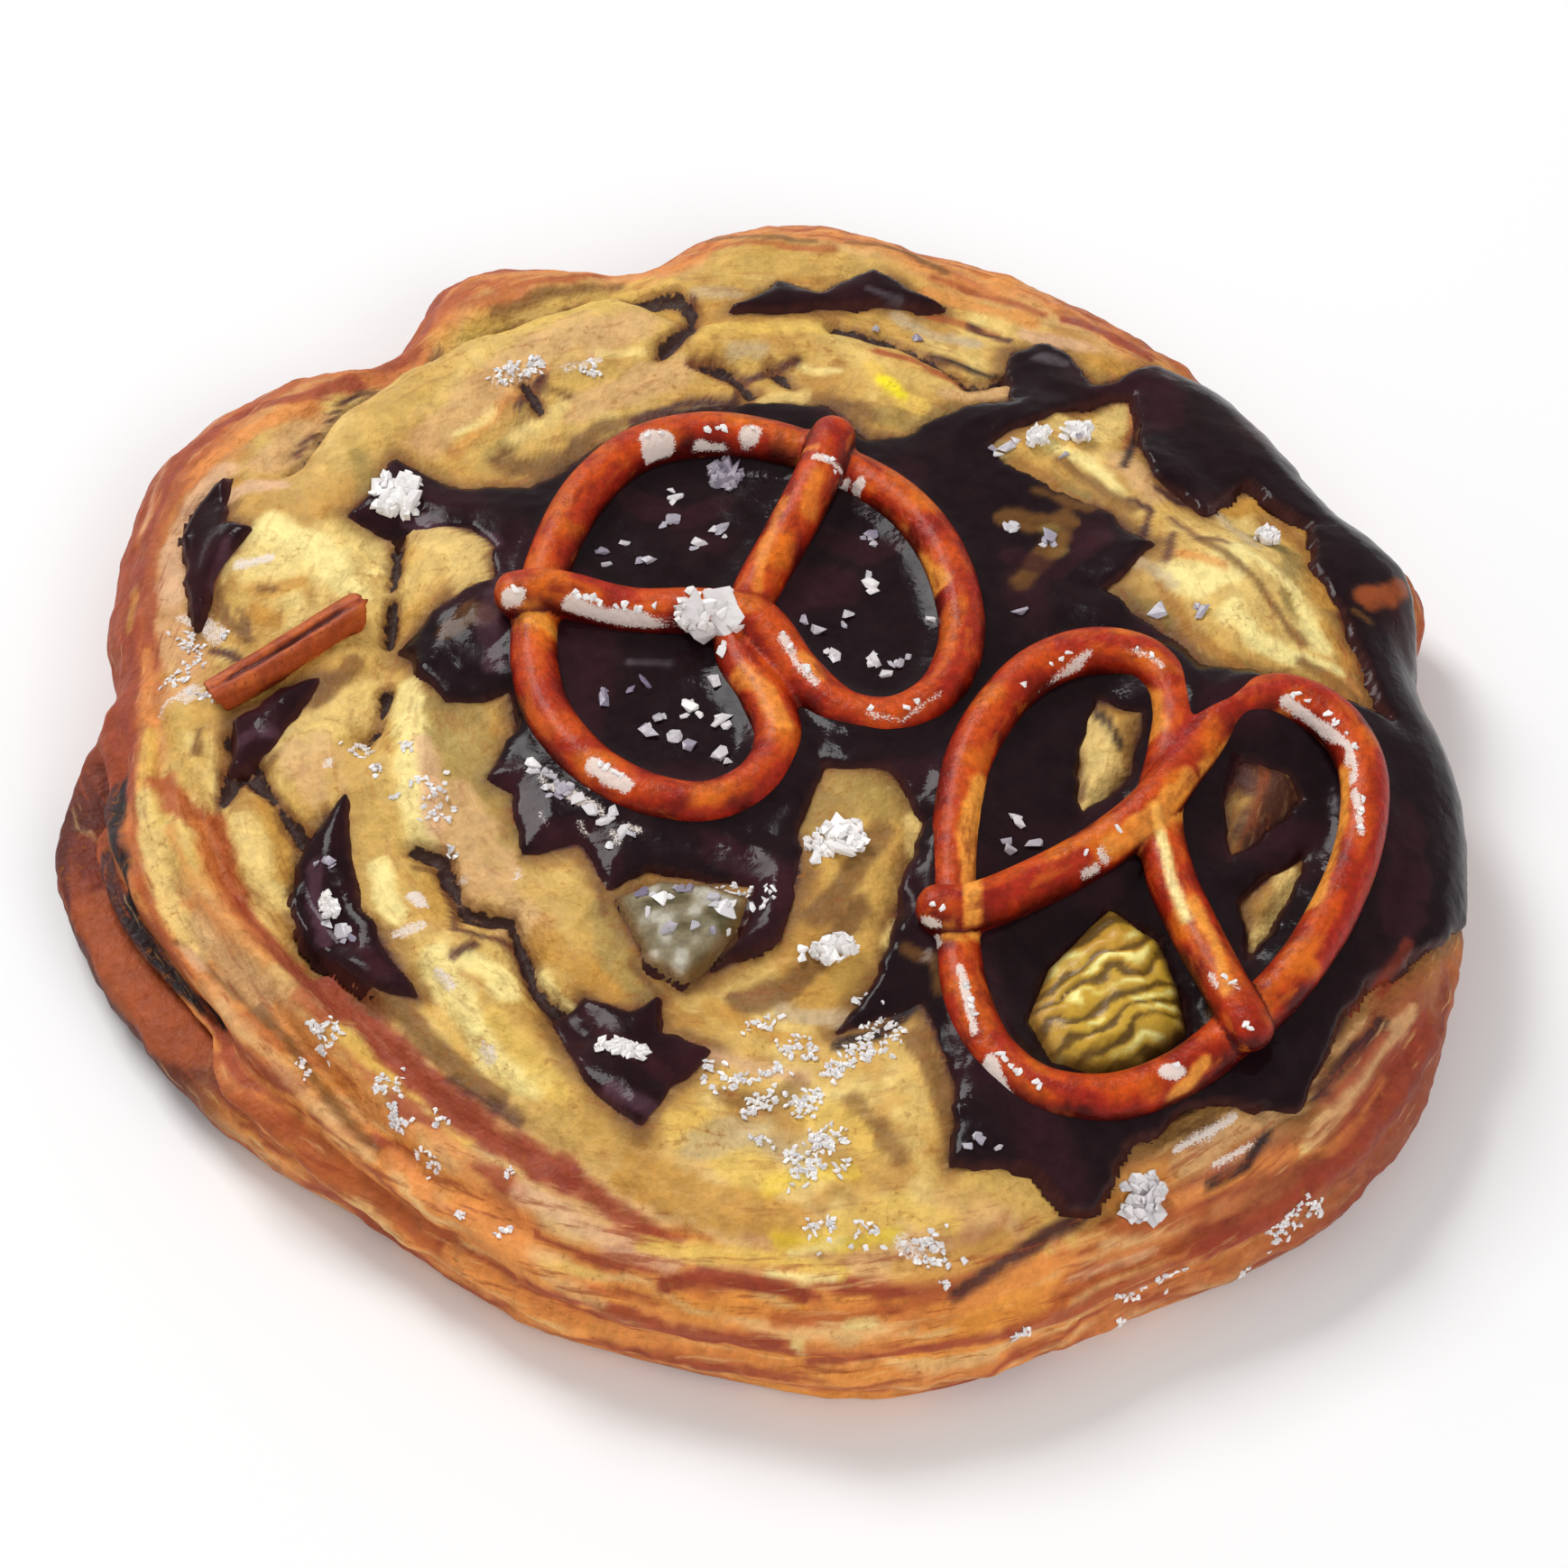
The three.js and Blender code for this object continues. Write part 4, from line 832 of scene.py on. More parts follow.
# %% The front
DOUGH_STROKES += [
    # Painted highlights: the cream and yellow strokes along the ridge at the front left.
    ("cream", 0.8, 0.8, [(-25, -24.5), (-23.5, -27.5), (-22, -30)]),
    ("white", 0.6, 0.4, [(-24.6, -25.5), (-23.6, -26.8)]),
    ("cream", 0.8, 0.7, [(-21.5, -31), (-20, -33.5), (-17, -36)]),
    ("white", 0.6, 0.4, [(-21, -32), (-20.4, -33)]),
    ("yellow", 0.7, 0.8, [(-20.5, -30), (-18.5, -33), (-15.5, -36.5)]),
    ("cream", 0.9, 0.8, [(-22.5, -25), (-20.5, -26), (-19.5, -27.5)]),
    # Painted shade: umber and plum along the crease at the front left.
    ("umber", 0.8, 0.3, [(-27, -15.5), (-25, -15.5), (-24, -19)]),
    ("plum", 0.8, 0.3, [(-25, -15.5), (-24, -19.5), (-23.5, -22), (-21.5, -22.5), (-19, -22.5)]),
    ("plum", 0.9, 0.3, [(-19, -22.5), (-18, -26), (-16, -29.5)]),
    ("plum", 0.8, 0.3, [(-23.5, -24.5), (-22, -23.5)]),
    ("cream", 0.9, 0.4, [(-17.5, -25), (-16, -27.5), (-14.5, -29)]),
    ("lilac", 0.7, 0.4, [(-19, -16.5), (-19, -17)]),
    ("lilac", 0.7, 0.3, [(-23.5, -16.5), (-23, -17)]),
    ("white", 0.9, 0.4, [(-27, -18.5), (-26, -19.5)]),
    ("lilac", 0.8, 0.4, [(-28, -22), (-26, -21.5)]),
    ("white", 0.8, 0.3, [(-34, -5.5), (-34, -5)]),
    ("olive", 0.6, 0.8, [(-13, -20.5), (-11.5, -25), (-9, -27.5)]),
    ("umber", 0.8, 0.3, [(-13, -18), (-12.5, -20.5)]),
    ("umber", 0.8, 0.3, [(-10.5, -25), (-8, -28)]),
    ("olive", 0.5, 1.5, [(3, -12.5), (6.5, -10), (9, -10.5)]),
    # Painted shade: the umber strokes on the slopes of the dough between the pretzels.
    ("umber", 0.7, 0.8, [(3.5, -22), (5.5, -19), (7, -16.5), (8.5, -14)]),
    ("pale", 0.8, 0.6, [(10.5, -12.5), (11.5, -17), (10.5, -21), (9, -23.5)]),
    ("umber", 0.8, 0.8, [(-2.5, -28.5), (1, -27.5), (4.5, -24.5), (7, -21)]),
    ("ochre", 0.7, 0.5, [(-4.5, -28.5), (0, -31.5), (3, -32)]),
    ("black", 0.9, 0.4, [(5, -32.5), (8, -31.5), (10.5, -29)]),
    ("umber", 0.7, 0.6, [(7, -28.5), (10, -27), (12, -25)]),
    ("grey", 0.8, 0.6, [(1, -29.5), (3.5, -30), (5.5, -30)]),
    ("pink", 0.7, 0.5, [(-5, -33), (-1, -34.5), (2.5, -35.5)]),
    ("yellow", 0.7, 1.1, [(-6, -40), (-3.5, -42), (0, -44)]),
    ("yellow", 0.7, 1, [(3, -38.5), (5.5, -39), (7, -41)]),
    ("grey", 0.6, 1.1, [(-5, -41.5), (-1, -40), (2.5, -42.5)]),
    ("umber", 0.6, 0.6, [(6, -37.5), (8, -39.5), (9.5, -42.5)]),
    ("umber", 0.5, 0.6, [(-3.5, -37), (0, -37.5), (2, -36)]),
    ("ochre", 0.7, 1, [(-10, -43), (-3.5, -46), (1.5, -47)]),
    ("yellow", 0.7, 0.7, [(5, -47.5), (9.5, -46), (13, -47)]),
    ("lemon", 0.45, 0.5, [(0.5, -48), (5, -48.6), (9, -48)]),
    ("lemon", 0.25, 0.6, [(0, -44.5), (3, -43.5), (6, -43.5)]),
    ("cream", 0.8, 0.3, [(1.5, -49), (5, -48.5)]),
    ("lilac", 0.8, 0.6, [(9.5, -48.5), (10.5, -49)]),
    ("gold", 0.8, 1.5, [(16, -43), (18.5, -44), (21, -46)]),
    ("umber", 0.7, 0.7, [(10.5, -32), (12.5, -36), (14, -41)]),
    ("ochre", 0.6, 0.7, [(17, -48), (13, -50), (9.5, -50.5)]),
]

# %% The front right rim
DOUGH_STROKES += [
    ("plum", 0.85, 0.5, [(22.5, -45.5), (20, -47), (17.5, -49), (13.5, -52)]),
    ("orange", 0.8, 0.6, [(22, -49), (17.5, -50.5), (13.5, -53.5), (9.5, -54.5)]),
    ("tan", 0.7, 0.5, [(24.5, -47.5), (28.5, -46.5), (31, -45)]),
    ("rust", 0.8, 0.6, [(25, -46), (28.5, -45.5), (32, -44.5)]),
    ("orange", 0.7, 0.6, [(30, -43.5), (35, -41), (40, -38.5)]),
    ("brick", 0.85, 0.8, [(50.5, -26), (49.5, -29.5), (45.5, -36), (42.5, -40), (38.5, -44),
        (33, -47.5)]),
    ("brick", 0.7, 0.6, [(33, -47.5), (28.5, -50.5), (23, -53), (18, -55)]),
    ("rust", 0.8, 0.5, [(21.5, -52), (25.5, -50), (30.5, -47.5)]),
    ("pink", 0.7, 0.3, [(22, -50.5), (25.5, -49.5), (29, -48)]),
    ("tan", 0.8, 0.6, [(48.5, -26), (45.5, -30), (42.5, -34.5), (40, -38)]),
    ("brick", 0.9, 0.5, [(47.5, -30), (45, -34), (43, -37)]),
    ("brick", 0.8, 0.3, [(46, -28.5), (43, -33), (41, -35.5)]),
    ("orange", 0.6, 0.3, [(46.5, -32), (44.5, -35.5), (41.5, -39)]),
    ("tan", 0.8, 0.3, [(44.5, -27.5), (42, -30.5), (40, -33.5), (38.5, -36.5)]),
    ("plum", 0.9, 0.4, [(45.5, -27.5), (42.5, -31.5), (40, -35)]),
    ("brick", 0.9, 0.4, [(51.5, -15.5), (48.5, -21), (46, -25)]),
    ("cream", 0.8, 0.3, [(39.5, -39), (39.5, -39)]),
    ("tan", 0.8, 0.6, [(30, -41), (33, -39), (37, -36.5)]),
    ("umber", 0.8, 0.4, [(29.5, -39.5), (32.5, -37.5)]),
    ("white", 0.8, 0.3, [(29.5, -40), (32, -38.5), (34, -37)]),
    ("white", 0.7, 0.3, [(32.5, -41), (36, -38.5)]),
    ("black", 0.9, 0.3, [(32, -42.5), (34.5, -41), (36.5, -38)]),
]

# %% The back
DOUGH_STROKES += [
    # Painted shade along the crease at the back.
    ("plum", 0.9, 0.3, [(-6.5, 46), (-6.5, 44), (-7, 40), (-9, 38)]),
    ("grey", 0.7, 0.6, [(-6, 46.5), (-3, 46.5)]),
    ("umber", 0.7, 0.4, [(-5, 55), (-0.5, 54.5), (3.5, 54.5)]),
    ("rust", 0.7, 0.4, [(-5, 53), (-0.5, 53.5), (5, 53)]),
    ("umber", 0.8, 0.4, [(6.5, 54.5), (11, 53.5), (14.5, 50.5)]),
    ("ochre", 0.7, 0.5, [(-2.5, 44.5), (0.5, 45.5)]),
    ("black", 0.95, 0.4, [(-3, 43.5), (0.5, 44), (4.5, 45)]),
    ("black", 0.95, 0.4, [(0.5, 48), (2.5, 47.5), (4.5, 46)]),
    ("grey", 0.7, 0.5, [(-1, 38.5), (-3, 38)]),
    # Painted shade: plum along the back creases and the valley beside them.
    ("plum", 0.85, 0.4, [(-6.5, 37), (-5, 37), (-3.5, 35.5), (-2, 35.5), (0, 36.5), (2, 37.5)]),
    ("plum", 0.8, 0.3, [(-2.5, 35), (-3, 32)]),
    ("cream", 0.8, 0.3, [(2.5, 37), (5.5, 36)]),
    ("pale", 0.8, 0.6, [(-0.5, 32.5), (2.5, 33.5)]),
    ("umber", 0.7, 0.5, [(4, 32.5), (7, 32), (8.5, 31)]),
    ("olive", 0.6, 0.8, [(9.5, 31), (12, 30.5), (14, 31.5)]),
    ("yellow", 1, 0.7, [(8, 36), (10.5, 33), (12, 32.5)]),
    ("lemon", 1, 0.5, [(9, 35), (10.5, 33.5)]),
    ("grey", 0.8, 0.6, [(10.5, 44), (13.5, 41.5), (16.5, 41)]),
    ("rust", 0.9, 0.4, [(8.5, 38.5), (11, 37.5), (13, 36.5), (15.5, 35.5)]),
    ("tan", 0.8, 0.6, [(14, 34), (18, 34.5), (21, 34.5)]),
    ("rust", 0.8, 0.3, [(13, 44.5), (16.5, 43.5), (18.5, 42.5)]),
    ("orange", 0.7, 0.6, [(13, 47.5), (17.5, 46), (21.5, 44)]),
    ("rust", 0.8, 0.4, [(13.5, 49.5), (18, 47.5), (22.5, 45.5)]),
    ("pink", 0.8, 0.6, [(21, 42.5), (23.5, 41.5), (26, 40.5)]),
    ("brick", 0.9, 0.6, [(24.5, 45), (28, 43.5), (31, 41)]),
    ("ochre", 0.8, 0.6, [(26, 39.5), (28.5, 38.5), (30.5, 38.5)]),
    ("plum", 0.9, 0.3, [(16.5, 43.5), (19.5, 41.5)]),
    ("black", 0.95, 0.3, [(13, 38.5), (15.5, 37.5), (18, 36.5), (19.5, 36.5)]),
]

# %% The big island
DOUGH_STROKES += [
    # The cream strokes on the island are painted highlights on its rises.
    ("olive", 0.8, 0.6, [(17.5, 27.5), (19, 25), (22, 23), (24.5, 21.5)]),
    ("pale", 0.8, 1, [(23.5, 30), (26, 29.5), (28.5, 33)]),
    ("tan", 0.8, 0.8, [(27.5, 25.5), (29, 23), (30, 21.5)]),
    ("rust", 0.6, 0.4, [(29.5, 34.5), (29.5, 31.5), (28.5, 27.5)]),
    ("cream", 0.95, 0.4, [(22, 27.5), (24.5, 25.5), (26.5, 23.5), (27.5, 21.5)]),
    ("black", 0.9, 0.3, [(30.5, 33.5), (29, 28), (28, 24.5)]),
    ("black", 0.9, 0.4, [(30.5, 32), (32.5, 31), (33.5, 26), (34, 22)]),
    ("umber", 0.8, 0.5, [(31, 30.5), (32, 26.5)]),
    ("grey", 0.8, 0.4, [(32, 24.5), (33, 22)]),
    ("umber", 0.9, 0.4, [(34, 32), (35, 29), (36, 26)]),
    ("plum", 0.9, 0.3, [(30.5, 22.5), (32.5, 21.5), (35, 21.5)]),
    ("plum", 0.9, 0.3, [(28.5, 21), (30, 20), (29, 16), (28.5, 14)]),
    ("plum", 0.7, 0.3, [(31.5, 16.5), (30.5, 11.5)]),
    ("ochre", 0.9, 0.8, [(36.5, 22.5), (40.5, 23.5), (42.5, 20.5), (43.5, 16), (43.5, 12)]),
    ("olive", 0.8, 0.6, [(38.5, 18), (41.5, 16.5), (40.5, 13)]),
    ("cream", 0.95, 1.1, [(31, 11), (33, 10.5), (36, 13.5)]),
    ("plum", 0.5, 0.3, [(31.5, 19), (33.5, 16), (36.5, 15)]),
    ("orange", 0.6, 0.4, [(32, 13.5), (35, 12.5)]),
    ("cream", 0.95, 0.8, [(35, 8), (37, 5), (40, 4.5)]),
    ("olive", 0.8, 0.5, [(40, 11), (41.5, 7.5)]),
    ("cream", 0.8, 0.4, [(41.5, 8.5), (42, 6)]),
    ("ochre", 0.7, 0.6, [(43, 8.5), (44, 5)]),
    ("olive", 0.8, 0.6, [(26.5, 10), (29, 8.5), (31, 6.5), (32.5, 5.5)]),
    ("toast", 0.8, 0.5, [(30, 10.5), (32.5, 5.5), (36, 1)]),
    ("umber", 0.7, 0.4, [(33.5, 15.5), (37.5, 11.5), (41, 6)]),
    ("cream", 0.9, 0.5, [(36.5, 15), (41, 11.5), (42.5, 6)]),
    ("toast", 0.8, 0.5, [(39, 21.5), (42.5, 17.5), (44, 12)]),
    ("grey", 0.7, 0.5, [(28, 14), (31, 10.5)]),
    ("umber", 0.7, 0.4, [(27, 10), (31, 6), (34, 0.5)]),
    ("cream", 0.9, 0.4, [(39, 5), (43.5, 4)]),
    ("umber", 0.7, 0.4, [(41, 4), (45, 2)]),
    ("grey", 0.8, 0.5, [(35.5, 21), (38, 16.5)]),
    ("toast", 0.8, 0.5, [(43, 3), (46, -0.5)]),
    ("umber", 0.7, 0.4, [(23, 25.5), (26.5, 22), (28.5, 20)]),
    ("toast", 0.8, 0.6, [(19.5, 25), (22.5, 23), (24.5, 20.5)]),
    ("cream", 0.8, 0.5, [(21, 27.5), (25.5, 25.5)]),
]

# %% The small islands
DOUGH_STROKES += [
    ("pale", 0.9, 1.1, [(24, -3), (25, -7), (24, -12)]),
    ("umber", 0.8, 0.4, [(23, -2.5), (23.5, -9.5)]),
    ("black", 0.8, 0.3, [(25, -2), (26.5, -5.5)]),
    ("plum", 0.8, 1.4, [(36.5, -7), (38.5, -9.5), (37.5, -13)]),
    ("rust", 0.5, 0.3, [(37.5, -7), (36.5, -12)]),
    ("pale", 0.9, 0.8, [(39, -16), (38.5, -19.5), (37, -22)]),
    ("umber", 0.8, 0.4, [(35.5, -15.5), (35.5, -20.5), (36, -23.5)]),
]

# %% Paint the dough
TEAR_SHARE = 4  # mm


def on_whole_dough(values):
    """Gives the rings of the underside, which have no map place, the mean value of the border."""
    rest = np.repeat(values[loop].mean(0)[None], len(dough.data.vertices) - len(values), axis=0)
    return np.concatenate([values, rest])


colour = dough_ground(map_x, map_y, filling, main_relief(map_x, map_y))
colour, salt_and_highlight = paint_strokes(map_x, map_y, colour, DOUGH_STROKES)
set_paint(dough, on_whole_dough(colour))
set_values(dough, "salt_and_highlight", on_whole_dough(salt_and_highlight))
set_values(dough, "tear", on_whole_dough(np.clip(from_tear(map_x, map_y) / TEAR_SHARE, 0, 1)))
angle = np.radians(direction_of(map_x, map_y))
layered = np.stack([4.2 * np.cos(angle), 4.2 * np.sin(angle), np.hypot(map_x, map_y) / 1.6], -1)
set_values(dough, "layered", on_whole_dough(layered))
browned = smooth(np.hypot(map_x, map_y) - flat_radius(direction_of(map_x, map_y)), 1.0, 6.0)
set_values(dough, "browned", on_whole_dough(browned))
print(len(DOUGH_STROKES), "strokes; the mean colour of the dough is", colour.mean(0).round())

# %% [markdown]
# ## A few words for writing materials
# Node trees are long to write out. These helpers say one thing each: a colour as a painter names it,
# a spot of noise, a mix, a range. The colours are given as they look on a screen and turned into the
# linear numbers that the renderer adds up.


# %% Helpers for node trees
def paint(*screen):
    """A colour as it looks on a screen, 0 to 255, as linear numbers."""
    return (*(((c / 255 + 0.055) / 1.055) ** 2.4 for c in screen), 1.0)


class Tree:
    def __init__(self, name):
        self.material = bpy.data.materials.new(name)
        self.material.use_nodes = True
        self.nodes = self.material.node_tree.nodes
        self.links = self.material.node_tree.links
        self.surface = self.nodes["Principled BSDF"]

    def add(self, kind, inputs=(), **settings):
        node = self.nodes.new(kind)
        for key, value in settings.items():
            setattr(node, key, value)
        for key, value in dict(inputs).items():
            self.put(node.inputs[key], value)
        return node

    def put(self, socket, value):
        if isinstance(value, bpy.types.NodeSocket):
            self.links.new(value, socket)
        else:
            socket.default_value = value

    def set(self, **inputs):
        for key, value in inputs.items():
            socket = key.replace("_", " ").title().replace("Ior", "IOR")
            self.put(self.surface.inputs[socket], value)

    def value(self, name):
        return self.add("ShaderNodeAttribute", attribute_name=name).outputs["Fac"]

    def painted(self, spread=0.16, width=1.3):
        """The piece's own paint, a little lighter and darker in soft grains."""
        paint = self.add("ShaderNodeAttribute", attribute_name="paint").outputs["Color"]
        noise = self.spots(width, detail=5.0, roughness=0.7)
        grain = self.range(noise, 0.3, 0.7, 1 - spread, 1 + spread)
        return self.add("ShaderNodeHueSaturation", {"Color": paint, "Value": grain}).outputs["Color"]

    def dusted_with_salt_and_highlights(self, colour):
        """A colour with salt on it in grains, finer than the mesh; where its strokes stand for painted
        highlights, this white is a painted highlight.
        """
        grains = self.range(self.spots(0.15, detail=2.0), 0.3, 0.7, -0.22, 0.2)
        cover = self.range(self.math("ADD", self.value("salt_and_highlight"), grains), 0.25, 0.6, 0.0, 0.85)
        return self.mix(cover, colour, paint(236, 222, 212))

    def direction(self, name):
        return self.add("ShaderNodeAttribute", attribute_name=name).outputs["Vector"]

    def place(self):
        return self.add("ShaderNodeTexCoord").outputs["Object"]

    def spots(self, width, where=None, detail=3.0, roughness=0.55):
        """Noise from 0 to 1. The width of its spots is in mm, or in the units of the given places."""
        scale = 1 / width if where is not None else 1 / (width * MM)
        inputs = {
            "Vector": where if where is not None else self.place(),
            "Scale": scale, "Detail": detail, "Roughness": roughness,
        }
        return self.add("ShaderNodeTexNoise", inputs).outputs["Fac"]

    def range(self, value, low, high, to_low=0.0, to_high=1.0):
        inputs = {
            "Value": value, "From Min": low, "From Max": high, "To Min": to_low, "To Max": to_high,
        }
        node = self.add("ShaderNodeMapRange", inputs, interpolation_type="SMOOTHSTEP")
        return node.outputs["Result"]

    def math(self, operation, a, b=0.0):
        node = self.add("ShaderNodeMath", operation=operation, use_clamp=True)
        self.put(node.inputs[0], a)
        self.put(node.inputs[1], b)
        return node.outputs[0]

    def mix(self, share, first, second):
        node = self.add("ShaderNodeMix", data_type="RGBA")
        for slot, value in ((0, share), (6, first), (7, second)):
            self.put(node.inputs[slot], value)
        return node.outputs[2]

    def bump(self, height, distance, strength=1.0):
        """Relief too fine for the mesh; the distance is in mm."""
        inputs = {"Height": height, "Distance": distance * MM, "Strength": strength}
        return self.add("ShaderNodeBump", inputs).outputs["Normal"]

    def dress(self, *pieces):
        for piece in pieces:
            piece.data.materials.clear()
            piece.data.materials.append(self.material)


# %% [markdown]
# ## The finish of the dough
# The paint gives each place its colour; the material breaks it up as an oven does. Grains a
# millimetre wide make it lighter and darker, darker specks stand for crumbs that caught, and fine
# streaks follow the rim. A tear would look jagged if it were painted on the corners, so the mesh
# keeps only the distance to it, in shares of 4 mm, and the material paints shade into it: nearly
# black on its floor and brown on its lips. The bump is only for what is finer than the mesh: crumbs
# and small lumps.

# %% The finish of the dough
tree = Tree("baked_dough")
grain = tree.spots(0.9, detail=5.0, roughness=0.7)
colour = tree.painted(spread=0.16, width=1.6)
specks = tree.math("MULTIPLY", tree.range(grain, 0.54, 0.68), tree.range(tree.spots(6.0), 0.35, 0.6))
colour = tree.mix(tree.math("MULTIPLY", specks, 0.6), colour, paint(158, 98, 40))
streaks = tree.spots(0.5, tree.direction("layered"), detail=4.0, roughness=0.65)
strength = tree.range(tree.value("browned"), 0.0, 1.0, 0.3, 0.7)
dark = tree.math("MULTIPLY", tree.range(streaks, 0.54, 0.68), strength)
light = tree.math("MULTIPLY", tree.range(streaks, 0.42, 0.28), tree.math("MULTIPLY", strength, 0.5))
colour = tree.mix(dark, colour, paint(150, 66, 30))
colour = tree.mix(light, colour, paint(250, 204, 132))
# Painted shade in the tears: brown on their lips and nearly black on their floors.
tear = tree.math("ADD", tree.value("tear"), tree.range(tree.spots(0.7), 0.3, 0.7, 0.0, 0.07))
colour = tree.mix(tree.range(tear, 0.36, 0.12, 0.0, 0.75), colour, paint(122, 72, 34))
colour = tree.mix(tree.range(tear, 0.16, 0.11, 0.0, 0.95), colour, paint(44, 20, 20))
colour = tree.dusted_with_salt_and_highlights(colour)
tree.set(base_color=colour, roughness=tree.range(grain, 0.3, 0.7, 0.5, 0.75), specular_ior_level=0.3)
lumpy = tree.math("MULTIPLY", tree.spots(1.6, detail=2.0), 0.6)
crumb = tree.math("ADD", tree.math("MULTIPLY", tree.spots(0.5, detail=4.0), 0.25), lumpy)
tree.set(normal=tree.bump(crumb, 0.8, 0.9))
tree.dress(dough)
print("dressed", dough.name)

# %% [markdown]
# ## Melted chocolate
# Chocolate melts into a puddle with a thick rounded edge and a ragged outline, and it climbs a little
# where a pretzel stands in it. We give the dough's map a thickness: it swells inside the outline and
# dives under the skin outside it, so that the edge is where the two surfaces really cross. Its
# underside lies in the bed that the dough left.

# %% Puddles
CELL = 0.32
EDGE_LIFT = 0.2
EDGE_WIDTH = 3.0
DIVE = 2.2  # how steeply an edge dives under the skin
LOWEST_TOP = -0.55
UNDERSIDE = -1.05
OVER_TABLE = 0.3  # how far the chocolate that runs down the side stays above the table


def swell(depth, full):
    risen = EDGE_LIFT + (full - EDGE_LIFT) * np.sqrt(np.clip(depth / EDGE_WIDTH, 0, 1))
    return np.where(depth > 0, risen, EDGE_LIFT + DIVE * depth)


def on_skin(x, y, lift):
    return bare_skin(x, y) + skin_normal(x, y) * (main_relief(x, y) + lift)[..., None]


def puddle(name, outline, gaps=(), full=0.95, ragged=0.45, extra=None):
    """A closed blob on the skin. extra(x, y, depth) adds to its thickness."""
    corners = np.array(outline)
    low, high = corners.min(0) - 2, corners.max(0) + 2
    x, y = np.meshgrid(
        np.arange(low[0], high[0], CELL), np.arange(low[1], high[1], CELL), indexing="ij"
    )
    depth = depth_within(x, y, outline, gaps) + ragged * rough(x, y, 2.4)
    thick = swell(depth, full) + 0.1 * rough(x, y, 5.0) * smooth(depth, 0, 2)
    if extra is not None:
        thick = thick + extra(x, y, depth)
    faces = grid_faces(*x.shape)
    kept = faces[(thick.ravel()[faces] > LOWEST_TOP).any(1)]
    thick = np.maximum(thick, LOWEST_TOP)
    used = np.unique(kept)
    number = np.full(x.size, -1)
    number[used] = np.arange(len(used))
    upper = number[kept]
    x, y, thick = x.ravel()[used], y.ravel()[used], thick.ravel()[used]
    points = np.concatenate([on_skin(x, y, thick), on_skin(x, y, np.full_like(x, UNDERSIDE))])
    points[:, 2] = np.maximum(points[:, 2], OVER_TABLE)
    lower = upper[:, ::-1] + len(used)
    edges = np.concatenate([upper[:, [k, (k + 1) % 4]] for k in range(4)])
    one_way = {tuple(edge) for edge in edges.tolist()}
    rim = np.array([edge for edge in one_way if edge[::-1] not in one_way])
    rim = rim[np.lexsort(rim.T)]
    walls = np.stack([rim[:, 1], rim[:, 0], rim[:, 0] + len(used), rim[:, 1] + len(used)], -1)
    piece = make_mesh(name, points, np.concatenate([upper, lower, walls]))
    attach(piece, "root")
    print(f"{name}: {len(kept)} cells, {thick.max():.2f} mm thick at most")
    return piece, x, y, thick


# %% [markdown]
# ## The line of a pretzel
# A pretzel is one rope: a loop whose two ends cross once and are pressed onto it again. We lay the
# same stops as in the solid, seen from above, with a rise where the rope passes over itself, and run
# a smooth line through them whose bends depend on the distance between stops.

# %% Ropes
ROPE_RADIUS = 1.9  # a little fuller than in the solid, because melting the joints thins it
STEPS_TO_STOP = 14
PRETZELS = {
    "pretzel_1": {
        "height": 16.5, "tilt": 0.0, "tilt_line": 0.0,
        "line": [
            (-21.6, 8.4, 1.6), (-17.5, 9, 1.7), (-11, 8, 0.6), (-5, 7.6, 0.9), (-1.2, 6.4, 1.2),
            (2.2, 1.6, 0.3), (5.6, -2, 0), (9.2, -2.8, 0), (12.8, -0.4, 0), (14.7, 4.6, 0),
            (14.6, 10, 0), (13, 15.6, 0), (10.2, 20, 0), (6, 23.6, -0.3), (1, 26.2, 0),
            (-5, 27.4, 0), (-10.6, 25.8, 0), (-14.4, 21.6, 0), (-16.6, 16.6, 0),
            (-18, 10.8, -0.3), (-18.4, 3.8, -0.2), (-17, -2.4, 0), (-13.6, -7.4, 0),
            (-9.2, -10.4, 0), (-4.8, -11.2, 0), (-1, -9, 0), (0.6, -4.8, 0), (-0.6, -0.4, 0),
            (-2.6, 4.4, -0.2), (-1.4, 10, -0.1), (1, 15.4, 0.5), (3.4, 20.8, 1.4), (5.4, 27.4, 1.4),
        ],
    },
    "pretzel_2": {
        "height": 15.9, "tilt": 0.09, "tilt_line": -16.0,
        "line": [
            (10.8, -21.6, 1.5), (14.6, -21.8, 1.7), (19, -19.3, 0.8), (24, -16.1, 0.6),
            (28.6, -12.4, 1.2), (31.8, -7.3, 0.5), (35, -2.9, 0), (39, -1.1, 0), (42.8, -2.9, 0),
            (45, -7.3, 0), (44.8, -13.2, 0), (42.6, -19.9, 0), (39, -26.2, 0), (34.6, -31, -0.3),
            (29.8, -35.2, 0), (24.8, -37.1, 0), (19.8, -36.4, 0), (16.4, -33.3, 0),
            (14.4, -27.9, 0), (13.8, -21, -0.3), (14, -13.4, 0), (15, -7.3, 0), (17.4, -2.1, 0),
            (20.8, 1.7, 0), (25, 3.3, 0), (29, 2.3, 0), (31, -1.5, 0), (30.6, -6.3, 0),
            (29.4, -11.5, -0.2), (30, -17.2, 0), (31.6, -22.6, 0.5), (33.6, -28.3, 1.4),
            (36, -33.7, 1.4),
        ],
    },
}


